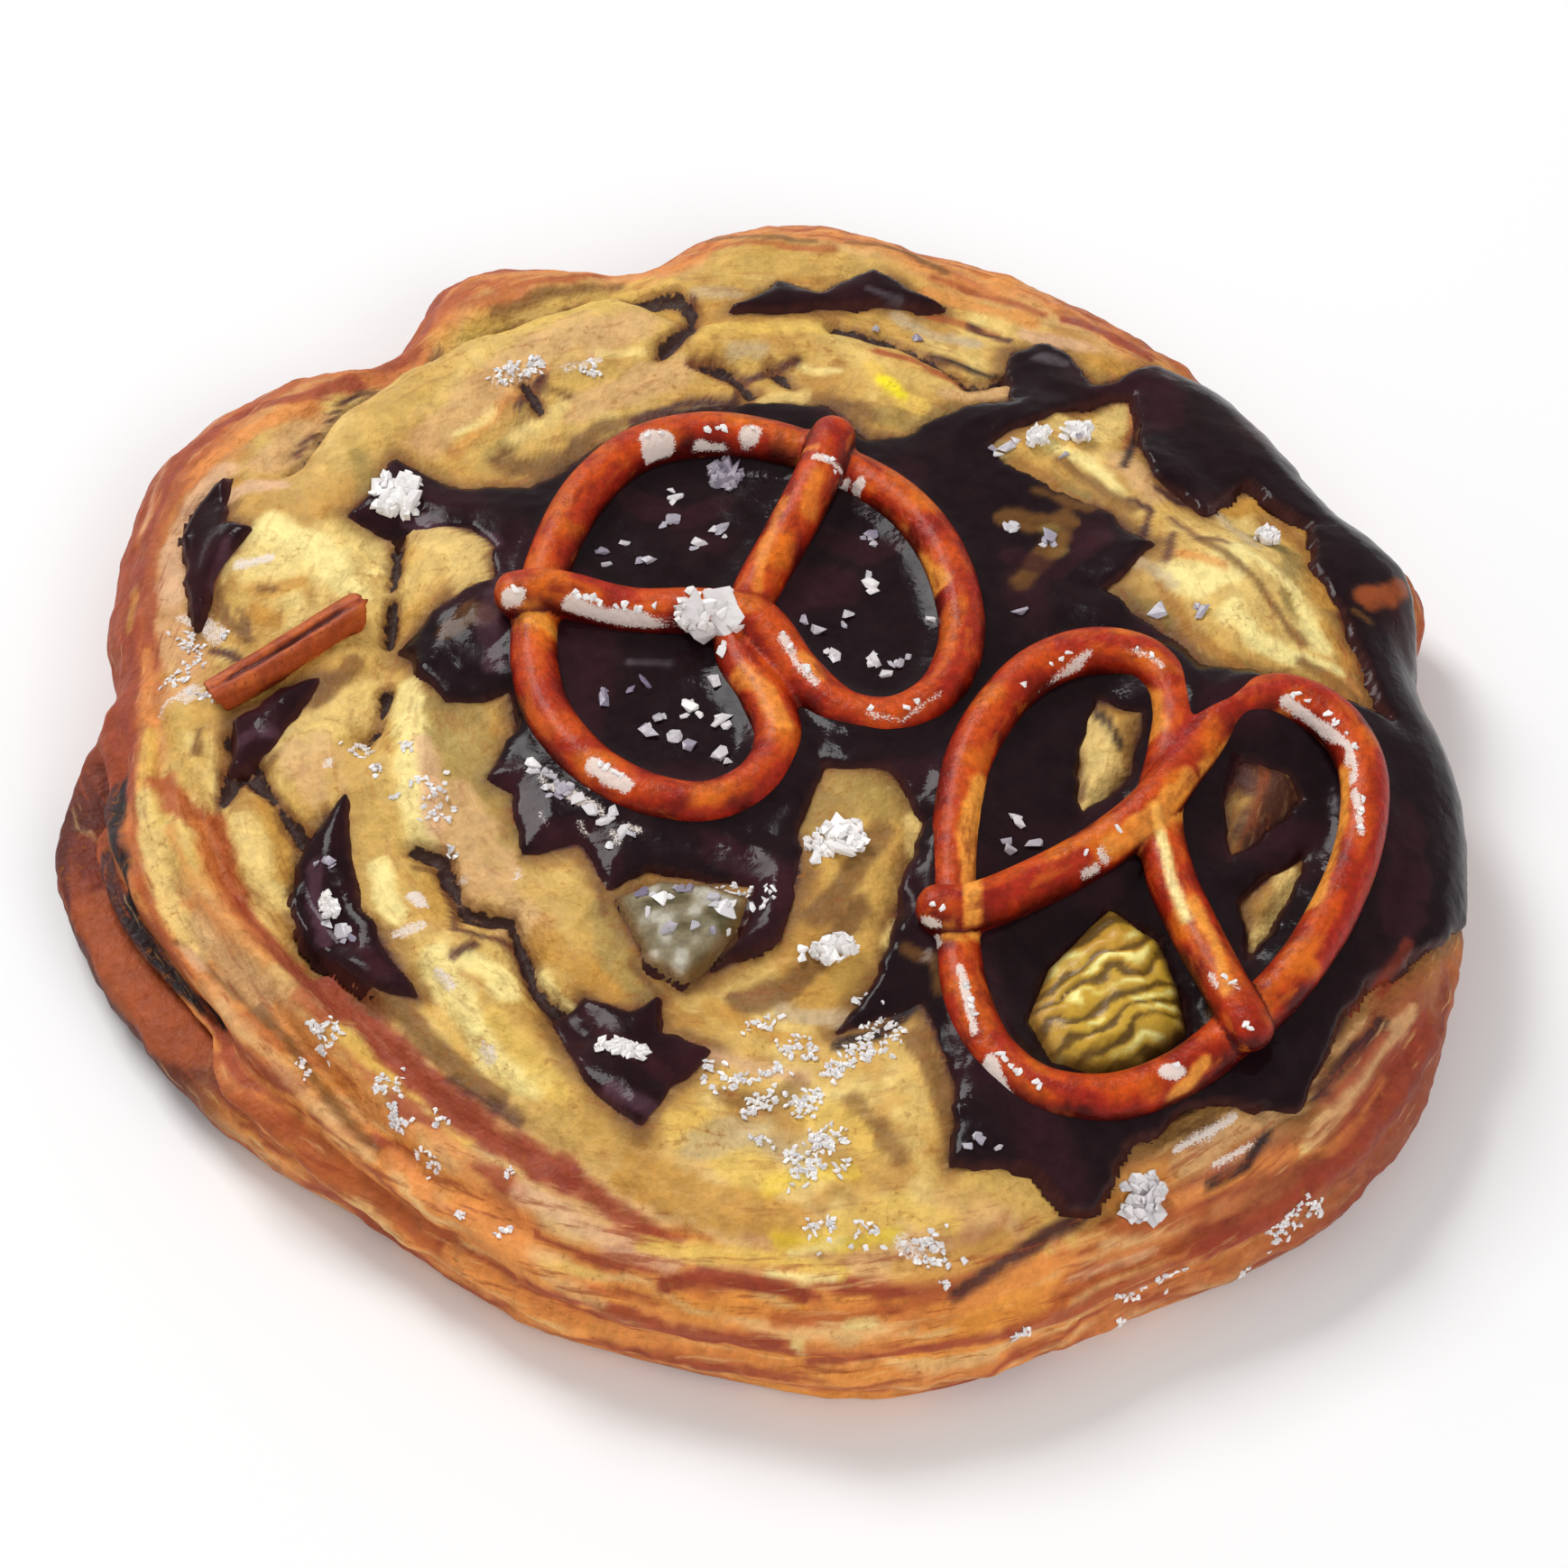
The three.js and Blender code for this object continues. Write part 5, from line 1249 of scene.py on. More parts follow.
def rope_line(pretzel):
    """A smooth line through a pretzel's stops, with the same number of steps between any two."""
    stops = np.array(pretzel["line"], float)
    stops[:, 2] += pretzel["height"] + pretzel["tilt"] * (stops[:, 1] - pretzel["tilt_line"])
    stops = np.vstack([2 * stops[0] - stops[1], stops, 2 * stops[-1] - stops[-2]])
    gap = np.sqrt(np.linalg.norm(np.diff(stops, axis=0), axis=1))
    t = np.linspace(0, 1, STEPS_TO_STOP, endpoint=False)[:, None]
    line = []
    for k in range(1, len(stops) - 2):
        (p0, p1, p2, p3), (g0, g1, g2) = stops[k - 1 : k + 3], gap[k - 1 : k + 2]
        leave = ((p1 - p0) / g0 - (p2 - p0) / (g0 + g1) + (p2 - p1) / g1) * g1
        enter = ((p2 - p1) / g1 - (p3 - p1) / (g1 + g2) + (p3 - p2) / g2) * g1
        line.append(
            (2 * t**3 - 3 * t**2 + 1) * p1 + (t**3 - 2 * t**2 + t) * leave
            + (3 * t**2 - 2 * t**3) * p2 + (t**3 - t**2) * enter
        )
    return np.vstack([*line, stops[-2]])


ROPES = {name: rope_line(pretzel) for name, pretzel in PRETZELS.items()}
for name, line in ROPES.items():
    print(f"{name}: a rope {np.linalg.norm(np.diff(line, axis=0), axis=1).sum():.0f} mm long")


# %% Pour the chocolate
def climb(x, y, depth):
    """How far the chocolate rises against the pretzels that stand in it."""
    place = bare_skin(x, y)
    lines = [line[:: STEPS_TO_STOP // 2, :2] for line in ROPES.values()]
    nearest = np.minimum.reduce(
        [distance_to_line(place[..., 0], place[..., 1], line) for line in lines]
    )
    return 0.45 * bell(np.maximum(nearest - 1.4, 0), 1.1) * smooth(depth, 0, 1.0)


chocolates = {}
pool_gaps = [*POOL_GAPS, YELLOW_LUMP, GREY_LUMP]
chocolates["chocolate_pool"] = puddle("melted_pool", POOL, pool_gaps, extra=climb)
for node, outline in CHUNKS.items():
    chocolates[node] = puddle(node.replace("chocolate", "melted"), outline, full=0.9, ragged=0.35)
for node, (piece, *_) in chocolates.items():
    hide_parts(node)

# %% [markdown]
# Seen closely, the chocolate isn't one black. Its thin edge shows the dough through it as plum brown,
# it is greyish where it cooled first, and here and there it has crumbs and salt melted into it.

# %% Strokes on the chocolate
POOL_STROKES = [
    ("umber", 0.6, 0.7, [(-25.2, 6.8), (-23.6, 8.8), (-22.2, 8.2)]),
    ("umber", 0.85, 0.92, [(19, 19), (20.5, 18.5), (23, 18.5)]),
    ("olive", 0.7, 0.56, [(22, 17.5), (22.5, 15)]),
    ("umber", 0.8, 0.77, [(22.5, 16), (21, 14), (19.5, 12)]),
    ("rust", 0.8, 0.63, [(46, 12.5), (48, 14), (49.5, 15.5)]),
    ("umber", 0.8, 0.35, [(45, 11), (46, 10.5)]),
    ("ash", 0.8, 0.56, [(22, 38.5), (23.5, 38)]),
    ("mauve", 0.7, 0.63, [(-28.5, 19.5), (-25, 17), (-22, 16.5)]),
    ("mauve", 0.6, 0.63, [(-21, 12.5), (-22, 7), (-21.5, 3.5)]),
    ("wine", 0.7, 1.27, [(47, -9), (48, -14), (47, -19)]),
    ("wine", 0.6, 0.99, [(50, 12.5), (55.5, 12), (51.5, 1)]),
    ("wine", 0.6, 0.7, [(19, 14.5), (22.5, 12.5), (26, 16)]),
    ("wine", 0.6, 0.85, [(-11, 21), (-7, 19), (-4, 21)]),
    ("wine", 0.6, 0.85, [(4.5, 16.5), (7.5, 15), (10.5, 16.5)]),
    ("wine", 0.6, 0.99, [(-20.5, -7.5), (-17.5, -13), (-12, -16.5)]),
    ("wine", 0.7, 0.99, [(-4.5, -15), (-0.5, -17.5), (2, -21)]),
    ("umber", 0.7, 0.42, [(10, -24.5), (12, -25.5), (12.5, -28)]),
    ("umber", 0.8, 0.56, [(28, 22.5), (25, 20), (21, 22)]),
    ("umber", 0.6, 0.42, [(33, -28.5), (32, -31.5)]),
    ("brick", 0.6, 0.42, [(47.5, -21), (45, -25.5), (43, -28.5)]),
    ("ash", 0.7, 0.28, [(-11, 3.5), (-8, 3.5)]),
    ("ash", 0.6, 0.28, [(9.5, 20.5), (11, 17.5)]),
    ("lilac", 0.8, 0.25, [(-17.5, -8), (-17, -9)]),
    ("white", 0.9, 0.35, [(-16.5, -9), (-15.5, -9.5), (-14.5, -10.5)]),
    ("lilac", 0.8, 0.28, [(-14, -10.5), (-13, -11.5), (-12.5, -12.5)]),
    ("lilac", 0.8, 0.25, [(-12, -13.5), (-11.5, -14.5)]),
    ("lilac", 0.8, 0.28, [(-11, -13), (-10, -13.5)]),
    ("lilac", 0.7, 0.25, [(-17.5, -11.5), (-17, -12.5)]),
    ("lilac", 0.7, 0.25, [(-14.5, -12.5), (-14, -13.5)]),
    ("lilac", 0.6, 0.25, [(-13.5, -18.5), (-12.5, -18)]),
]
CHUNK_STROKES = [
    ("mauve", 0.8, 0.49, [(-34.5, -15), (-34.5, -18), (-33.5, -21.5)]),
    ("wine", 0.9, 0.63, [(-32, -21.5), (-29, -25.5)]),
    ("black", 0.9, 0.28, [(-36, -17), (-35, -21.5), (-33.5, -24)]),
    ("wine", 0.8, 0.56, [(-13.5, -29), (-11.5, -32), (-7.5, -35.5)]),
    ("mauve", 0.8, 0.56, [(-11.5, -37), (-8.5, -39)]),
    ("mauve", 0.6, 0.42, [(-43, 17.5), (-44, 14.5)]),
    ("ash", 0.7, 0.35, [(8, 46.5), (10.5, 45.5)]),
    ("mauve", 0.7, 0.49, [(-41, -2), (-38.5, -2)]),
]
for node, (piece, x, y, thick) in chocolates.items():
    is_pool = node == "chocolate_pool"
    colour = lay_paints("black" if is_pool else "cocoa", len(x), [
        ("wine", 0.6 * smooth(hills(x, y, 5.0), 0.5, 0.8)),
        ("thin cocoa", 0.8 * smooth(thick, 0.5, 0.1)),
    ])
    strokes = POOL_STROKES if is_pool else CHUNK_STROKES
    colour, salt_and_highlight = paint_strokes(x, y, colour, strokes)
    set_paint(piece, np.concatenate([colour, colour]))
    set_values(piece, "salt_and_highlight", np.concatenate([salt_and_highlight, salt_and_highlight]))

# %% [markdown]
# Melted dark chocolate is smooth, but so dark that its gloss is nearly all one sees of it. A strong
# gloss would turn it grey under a broad light, so the surface reflects little, and its roughness
# changes in soft patches from polished to satin.

# %% The finish of the chocolate
tree = Tree("dark_chocolate")
tree.set(base_color=tree.dusted_with_salt_and_highlights(tree.painted(spread=0.25, width=2.0)), specular_ior_level=0.1)
tree.set(roughness=tree.range(tree.spots(3.0), 0.35, 0.7, 0.1, 0.26))
tree.set(normal=tree.bump(tree.spots(1.8, detail=3.0), 0.2, 0.5))
tree.dress(*(piece for piece, *_ in chocolates.values()))

# %% [markdown]
# ## Two lumps that show through
# Inside the second pretzel a lump of yellow toffee stands out of the chocolate, with slanting ribs.
# In front of the first pretzel lies a grey-green nut. Both are puddles too, only fuller and less
# ragged, and their ribs are added to the thickness.

# %% Shape the lumps
RIB_SPACING = 2.3


def rib_height(x, y):
    """Slanting ribs from -1 to 1."""
    across = 0.9 * y - 0.5 * x + 2.4 * rough(x, y, 4.5)
    return np.sin(2 * math.pi * across / RIB_SPACING)


def toffee_ribs(x, y, depth):
    broken = smooth(hills(x + 4, y, 2.6), 0.2, 0.6)
    return 0.26 * (rib_height(x, y) * broken + 1.2 * rough(x, y, 2.2)) * smooth(depth, 0.4, 2.0)


def nut_bumps(x, y, depth):
    return 0.35 * rough(x, y, 3.2) * smooth(depth, 0.3, 1.5)


toffee, x, y, _ = puddle("toffee_lump", YELLOW_LUMP, full=2.2, ragged=0.2, extra=toffee_ribs)
ribs = rib_height(x, y) + 0.6 * rough(x, y, 1.8)
colour = lay_paints("toffee", len(x), [
    ("ochre", 0.6 * smooth(hills(x, y, 3.0), 0.5, 0.8)),
    # Painted shade in the grooves between the ribs, and painted highlights on their crests.
    ("toffee groove shade", 0.9 * smooth(-ribs, 0.0, 0.8)),
    ("toffee rib highlight", 0.95 * smooth(ribs, 0.3, 1.0) * smooth(hills(x, y, 1.6), 0.35, 0.6)),
    ("umber", 0.7 * smooth(depth_within(x, y, YELLOW_LUMP), 0.9, 0.0)),
])
set_paint(toffee, np.concatenate([colour, colour]))
nut, x, y, _ = puddle("nut_lump", GREY_LUMP, full=1.7, ragged=0.3, extra=nut_bumps)
mottle = hills(x, y, 1.1) + 0.3 * rough(x, y, 4.0)
colour = lay_paints("nut", len(x), [
    ("nut light", 0.8 * smooth(mottle, 0.6, 0.9)),
    ("nut dark", 0.85 * smooth(mottle, 0.5, 0.25)),
    ("umber", 0.7 * smooth(depth_within(x, y, GREY_LUMP), 0.8, 0.0)),
])
set_paint(nut, np.concatenate([colour, colour]))
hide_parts("lump_yellow")
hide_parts("lump_grey")

# %% The finish of the lumps
tree = Tree("yellow_toffee")
tree.set(base_color=tree.painted(spread=0.16, width=1.2), roughness=0.4, specular_ior_level=0.35)
tree.set(normal=tree.bump(tree.spots(1.3, detail=4.0), 0.25, 0.6))
tree.dress(toffee)

tree = Tree("grey_nut")
tree.set(base_color=tree.painted(spread=0.2, width=0.9), roughness=0.65, specular_ior_level=0.2)
tree.set(normal=tree.bump(tree.spots(1.1, detail=4.0), 0.5, 0.8))
tree.dress(nut)

# %% [markdown]
# ## The pretzels
# We could leave the rope as a tube that passes through itself, but a baked pretzel has grown
# together: where the ends were pressed on, the crust runs over the joint in a soft fillet. So the tube
# is remeshed into one skin of tiny cubes and smoothed, which melts every joint.

# %% Shape the pretzels
ROPE_SIDES = 20
CRUST_CELL = 0.3
SMOOTHING_PASSES = 5


def tube_faces(rings, sides):
    """The faces of a tube of rings, with one flat face at each end."""
    index = np.arange(rings * sides).reshape(rings, sides)
    beside = np.roll(index, -1, axis=1)
    walls = np.stack([index[:-1], beside[:-1], beside[1:], index[1:]], -1).reshape(-1, 4)
    return [*walls.tolist(), index[0, ::-1].tolist(), index[-1].tolist()]


def tube(line, radii):
    """The corners and faces of a round tube along a line, with closed ends."""
    ahead = np.gradient(line, axis=0)
    ahead /= np.linalg.norm(ahead, axis=1, keepdims=True)
    across = np.cross([0, 0, 1], ahead)
    across /= np.linalg.norm(across, axis=1, keepdims=True)
    up = np.cross(ahead, across)
    turn = np.linspace(0, 2 * math.pi, ROPE_SIDES, endpoint=False)
    ring = np.cos(turn)[None, :, None] * across[:, None] + np.sin(turn)[None, :, None] * up[:, None]
    points = (line[:, None] + radii[:, None, None] * ring).reshape(-1, 3)
    return points, tube_faces(len(line), ROPE_SIDES)


def rounded_ends(line, radius):
    """The rope's radius along a line: a little uneven, and round at both ends."""
    travelled = np.concatenate([[0], np.cumsum(np.linalg.norm(np.diff(line, axis=0), axis=1))])
    from_end = np.minimum(travelled, travelled[-1] - travelled)
    uneven = 1 + 0.035 * rough(travelled, 0 * travelled + line[0, 0], 9.0)
    inward = np.clip(1 - from_end / (0.8 * radius), 0, 0.97)
    return radius * uneven * np.sqrt(1 - inward**2)


def melt_together(piece, cell, passes):
    """Remeshes a piece into one skin, smooths it and applies both."""
    remesh = piece.modifiers.new("one skin", "REMESH")
    remesh.mode = "VOXEL"
    remesh.voxel_size = cell * MM
    remesh.use_smooth_shade = True
    soften = piece.modifiers.new("soften", "SMOOTH")
    soften.factor = 0.5
    soften.iterations = passes
    bpy.context.view_layer.update()
    finished = piece.evaluated_get(bpy.context.evaluated_depsgraph_get())
    shaped = bpy.data.meshes.new_from_object(finished)
    piece.modifiers.clear()
    old, piece.data = piece.data, shaped
    bpy.data.meshes.remove(old)


def corners_of(piece):
    """The corners of a piece, in mm on the map's frame."""
    flat = np.empty(len(piece.data.vertices) * 3)
    piece.data.vertices.foreach_get("co", flat)
    return flat.reshape(-1, 3) / MM - [SHIFT[0], SHIFT[1], 0]


def nearest_step(points, line, chunk=4000):
    """For every point, the number of the nearest step of a line."""
    return np.concatenate([
        ((points[k : k + chunk, None] - line[None]) ** 2).sum(-1).argmin(1)
        for k in range(0, len(points), chunk)
    ])


def on_rope(points, line):
    """Each corner's step along the rope, and how far beside and over its middle line it lies."""
    step = nearest_step(points, line)
    away = points - line[step]
    ahead = np.gradient(line, axis=0)[step]
    side = away[:, 0] * ahead[:, 1] - away[:, 1] * ahead[:, 0]
    side /= np.hypot(ahead[:, 0], ahead[:, 1])
    return step, side / ROPE_RADIUS, away[:, 2] / ROPE_RADIUS


# %% [markdown]
# A pretzel is dipped in lye, so its crust bakes to a shining red-brown. Its top is painted orange as
# painted light, and its sides darkest as painted shade. The white strokes are painted highlights and
# salt both, laid as salt on the crust. Their lines are places seen from above.

# %% Strokes on the pretzels
# White strokes lie where the crust shone and where salt lay: painted highlights and salt both. The
# amber and cream strokes are painted highlights, and the ember strokes painted shade along the rope's
# edges.
PRETZEL_STROKES = {
    "pretzel_1": [
        ("white", 0.9, 0.77, [(-9.5, 25), (-8.5, 25.5)]),
        ("white", 0.85, 0.63, [(-5.5, 25), (-4, 25)]),
        ("white", 0.8, 0.49, [(-2, 26), (-1.5, 26)]),
        ("amber", 0.8, 0.35, [(-7, 23.5), (-4, 23.5), (-1.5, 24)]),
        ("white", 0.85, 0.63, [(-15.5, 7), (-13.5, 6.5), (-10.5, 6), (-7.5, 5.5)]),
        ("white", 1, 0.42, [(-20.5, 7.5), (-19.5, 7.5)]),
        ("amber", 0.8, 0.63, [(-19, 6.5), (-17, 5.5)]),
        ("white", 0.8, 0.28, [(3.5, 22), (5, 21.5), (6, 21.5)]),
        ("white", 0.95, 0.42, [(6.5, 20.5), (7, 21)]),
        ("amber", 0.9, 0.63, [(7.5, 19), (9.5, 16.5), (11.5, 13.5), (13, 10.5)]),
        ("amber", 0.6, 0.35, [(1, 24), (3.5, 23)]),
        ("white", 0.7, 0.35, [(1, 3.5), (2, 1.5), (3.5, -0.5)]),
        ("amber", 0.7, 0.42, [(2.5, 2), (4, 0)]),
        ("white", 0.9, 0.42, [(-13.5, -8.5), (-12.5, -9.5), (-11, -10.5)]),
        ("amber", 0.7, 0.63, [(-2.5, 1), (-0.5, -1), (1, -4.5)]),
        ("white", 0.5, 0.25, [(7.5, -3.5), (10, -4), (13, -1.5)]),
        ("ember", 0.8, 0.56, [(3.5, 27), (5.5, 24)]),
        ("ember", 0.7, 0.56, [(-6.5, -13.5), (-1.5, -12.5), (1, -9)]),
        ("ember", 0.7, 0.42, [(16, 10.5), (15.5, 5), (13.5, -1)]),
        ("ember", 0.6, 0.56, [(-15.5, 17), (-12.5, 22)]),
        ("ember", 0.7, 0.49, [(-15, 9.5), (-11, 8)]),
        ("amber", 0.6, 0.42, [(1, 18), (-0.5, 13.5), (-1, 9.5)]),
        ("amber", 0.5, 0.56, [(3.5, 20), (3, 17)]),
    ],
    "pretzel_2": [
        ("white", 0.9, 0.35, [(39.5, -2.5), (41, -3.5), (42.5, -5), (44, -7), (44, -10)]),
        ("white", 0.8, 0.3, [(44.2, -11), (44.5, -13), (44.5, -15)]),
        ("white", 0.7, 0.28, [(24.5, 2), (22, 0), (19.5, -3)]),
        ("white", 0.6, 0.25, [(27, 2.5), (29, 1.5), (30, 0.5)]),
        ("white", 0.85, 0.35, [(26, -16), (25, -17)]),
        ("white", 0.7, 0.25, [(23.5, -18.5), (24.5, -18)]),
        ("cream", 0.95, 0.35, [(29, -13.5), (29.5, -16), (30, -19.5), (31, -23)]),
        ("white", 0.95, 0.42, [(11, -23.5), (12.5, -24)]),
        ("amber", 0.95, 0.28, [(13, -24), (14.5, -24.5)]),
        ("white", 0.95, 0.28, [(14, -27), (14.5, -29.5), (15, -32.5)]),
        ("white", 0.9, 0.42, [(16, -35), (17, -37), (18.5, -39), (20, -40)]),
        ("white", 0.85, 0.42, [(29, -36), (30, -36)]),
        ("white", 0.7, 0.28, [(32.5, -28.5), (33, -29.5)]),
        ("white", 0.85, 0.49, [(34.5, -34.5), (35, -36)]),
        ("white", 0.6, 0.25, [(34, -29.5), (34.5, -30)]),
        ("amber", 0.95, 0.7, [(16, -10), (15, -15), (15, -19.5), (15, -23.5)]),
        ("amber", 0.9, 0.7, [(33.5, -9), (36.5, -5.5), (39.5, -4)]),
        ("amber", 0.9, 0.7, [(43, -9), (42.5, -14), (40.5, -20.5)]),
        ("amber", 0.8, 0.7, [(26.5, 0), (29, -2), (29.5, -5)]),
        ("amber", 0.8, 0.7, [(26, -16.5), (29.5, -13.5), (32, -10.5)]),
        ("amber", 0.9, 0.42, [(19.5, -39), (24, -40), (28.5, -39), (32, -35)]),
        ("amber", 0.8, 0.42, [(31.5, -21.5), (33, -26), (33.5, -30)]),
        ("ember", 0.9, 0.49, [(33, -1.5), (32, -5), (30.5, -8)]),
        ("ember", 0.9, 0.49, [(46.5, -7.5), (46.5, -13), (44.5, -19.5), (41, -26)]),
        ("ember", 0.8, 0.49, [(22.5, 2.5), (26, 3), (30.5, 2.5), (32.5, 0)]),
        ("ember", 0.8, 0.42, [(36.5, -2), (40.5, -1), (44.5, -3)]),
        ("ember", 0.8, 0.49, [(16.5, -22), (20, -19.5), (23.5, -17.5)]),
        ("ember", 0.8, 0.42, [(16.5, -33), (19, -36.5), (24, -38.5)]),
        ("ember", 0.8, 0.49, [(13, -29.5), (14.5, -35.5), (18, -40)]),
        ("ember", 0.8, 0.42, [(36, -35.5), (36, -37)]),
    ],
}
pretzels = []
for node, line in ROPES.items():
    corners, faces = tube(line, rounded_ends(line, ROPE_RADIUS))
    crust = make_mesh(node.replace("pretzel", "baked_pretzel"), corners, faces)
    melt_together(crust, CRUST_CELL, SMOOTHING_PASSES)
    crust.data.name = crust.name
    points = corners_of(crust)
    x, y = points[:, 0], points[:, 1]
    step, side, rise = on_rope(points, line)
    uneven = 0.5 * rough(x, y, 2.5)
    colour = lay_paints("lye", len(x), [
        # Painted light on top of the rope, and painted shade down its sides.
        ("lye lit top", smooth(rise + uneven, 0.5, 1.15)),
        ("lye blister", 0.55 * smooth(hills(x + 5, y, 3.0) + 0.3 * rise, 0.75, 1.05)),
        ("lye shaded side", smooth(rise + uneven, 0.7, -0.1)),
    ])
    top = smooth(rise, -0.1, 0.3)
    painted, salt_and_highlight = paint_strokes(x, y, colour, PRETZEL_STROKES[node])
    set_paint(crust, colour + top[:, None] * (painted - colour))
    set_values(crust, "salt_and_highlight", top * salt_and_highlight)
    set_values(crust, "rope", np.stack([step / STEPS_TO_STOP, side, rise], -1))
    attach(crust, "root")
    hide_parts(node)
    pretzels.append(crust)
    print(f"{crust.name}: {len(crust.data.polygons)} faces")

# %% [markdown]
# The crust is glossy, with fine blisters. Streaks along the rope break up the paint.

# %% The finish of the pretzels
tree = Tree("lye_crust")
streak = tree.spots(1.0, tree.direction("rope"), detail=4.0, roughness=0.6)
colour = tree.painted(spread=0.26, width=0.8)
colour = tree.mix(tree.range(streak, 0.56, 0.7, 0.0, 0.4), colour, paint(226, 112, 30))
colour = tree.mix(tree.range(streak, 0.46, 0.3, 0.0, 0.7), colour, paint(128, 22, 10))
colour = tree.dusted_with_salt_and_highlights(colour)
tree.set(base_color=colour, roughness=tree.range(streak, 0.3, 0.7, 0.3, 0.5))
tree.set(specular_ior_level=0.2, coat_weight=0.06, coat_roughness=0.2)
tree.set(normal=tree.bump(tree.spots(0.7, detail=4.0), 0.26, 0.8))
tree.dress(*pretzels)

# %% [markdown]
# ## The piece of pretzel stick
# At the left a broken stick lies half sunk in the dough. Its crust has split along its top, and its
# ends are snapped off at a slant, so they show the paler crumb. We sweep an uneven ring along it; the
# first and last rings close in on the middle, which makes the two rough ends.

# %% Shape the stick
STICK_FROM = (-43, 2.2)
STICK_TO = (-32.6, 10)
STICK_RADIUS = 1.6
STICK_LIFT = 0.5
STICK_SIDES = 48
STICK_STEPS = 70
END_RINGS = (0.05, 0.4, 0.75, 0.93)
SPLIT_AT = 96  # degrees round the stick
SPLIT_HALF = 13

ends = on_skin(*np.array([STICK_FROM, STICK_TO], float).T, np.full(2, STICK_LIFT))
ahead = (ends[1] - ends[0]) / np.linalg.norm(ends[1] - ends[0])
across = np.cross([0, 0, 1], ahead)
across /= np.linalg.norm(across)
up = np.cross(ahead, across)
end_count = len(END_RINGS)
share = np.concatenate([[0] * end_count, np.linspace(0, 1, STICK_STEPS), [1] * end_count])
close = np.concatenate([END_RINGS, [1] * STICK_STEPS, END_RINGS[::-1]])
turn = np.linspace(0, 2 * math.pi, STICK_SIDES, endpoint=False)
t, a = np.meshgrid(share, turn, indexing="ij")
inner = close[:, None] + 0 * a
wander = 12 * rough(14 * t, 0 * t, 5.0)
split = bell(turn_between(np.degrees(a), SPLIT_AT + wander), SPLIT_HALF)
split = split * smooth(np.minimum(t, 1 - t), 0.0, 0.15)
flat = 1 - 0.14 * np.abs(np.sin(a)) + 0.05 * np.cos(3 * a + 1)
uneven = 0.07 * rough(9 * np.cos(a) + 12 * t, 9 * np.sin(a), 3.0)
radius = STICK_RADIUS * inner * (flat + uneven - 0.3 * split)
slant = 0.7 * np.sin(a) * inner * (smooth(t, 0.9, 1.0) - smooth(t, 0.1, 0.0))
snapped = (inner < 0.99) * 0.5 * rough(5 * inner * np.cos(a) + 40 * t, 5 * inner * np.sin(a), 1.5)
points = ends[0] * (1 - t[..., None]) + ends[1] * t[..., None]
points = points + (slant + snapped)[..., None] * ahead
points = points + radius[..., None] * (np.cos(a)[..., None] * across + np.sin(a)[..., None] * up)
stick = make_mesh("stick_piece", points.reshape(-1, 3), tube_faces(*t.shape))
print(f"stick_piece: {len(stick.data.polygons)} faces")

# %% Colour the stick
t, a, split, inner = (part.ravel() for part in (t, a, split, inner))
height = np.sin(a)
streaked = hills(8 * t, 1.5 * a, 0.8)
colour = lay_paints("stick", len(t), [
    # Random streaks along the crust, with painted light on its top and painted shade on its underside.
    ("stick streak and lit top", 0.7 * smooth(streaked + 0.3 * height, 0.6, 0.95)),
    ("stick streak and shaded underside", 0.9 * smooth(streaked + 0.5 * height, 0.35, -0.1)),
    ("stick split", 0.95 * smooth(split, 0.25, 0.7)),
    ("crumb", 0.8 * (inner < 0.9)),
])
set_paint(stick, colour)
set_values(stick, "rope", np.stack([14 * t, 2.2 * np.cos(a), 2.2 * np.sin(a)], -1))
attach(stick, "root")
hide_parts("pretzel_stick")

tree = Tree("stick_crust")
fibre = tree.spots(0.5, tree.direction("rope"), detail=4.0)
colour = tree.painted(spread=0.18, width=0.9)
colour = tree.mix(tree.range(fibre, 0.44, 0.3, 0.0, 0.6), colour, paint(104, 34, 16))
tree.set(base_color=colour, roughness=0.5, specular_ior_level=0.35, normal=tree.bump(fibre, 0.2, 0.6))
tree.dress(stick)

# %% [markdown]
# ## Salt
# Four kinds lie on the cookie: a few big flakes, grains in the chocolate, small crystals in the salt
# that dried on the pretzels, and fine salt on the dough. A crystal is a little block with broken
# corners, and the quickest way to such a shape is the hull round a few random points. Every crystal
# is set on the nearest surface and leans with it. A big flake is a cluster of crystals. Thin salt on
# chocolate looks lilac-grey and thick salt white, so each crystal keeps its tone.

# %% Crystals
rng = np.random.default_rng(11)
surfaces = []
for piece in [dough, nut, toffee, *pretzels, *(piece for piece, *_ in chocolates.values())]:
    corners = [tuple(corner) for corner in corners_of(piece)]
    faces = [tuple(face.vertices) for face in piece.data.polygons]
    surfaces.append(BVHTree.FromPolygons(corners, faces))


def crystal(size):
    """The corners and faces of one crystal: a hull round random points of a rounded block."""
    points = rng.normal(size=(12, 3))
    points /= np.abs(points).max(1, keepdims=True) ** 0.75
    shell = bmesh.new()
    for point in points * size / 2:
        shell.verts.new(point)
    bmesh.ops.convex_hull(shell, input=shell.verts[:])
    loose = [corner for corner in shell.verts if not corner.link_faces]
    bmesh.ops.delete(shell, geom=loose, context="VERTS")
    shell.verts.index_update()
    corners = np.array([corner.co for corner in shell.verts])
    faces = [[corner.index for corner in face.verts] for face in shell.faces]
    shell.free()
    return corners, faces


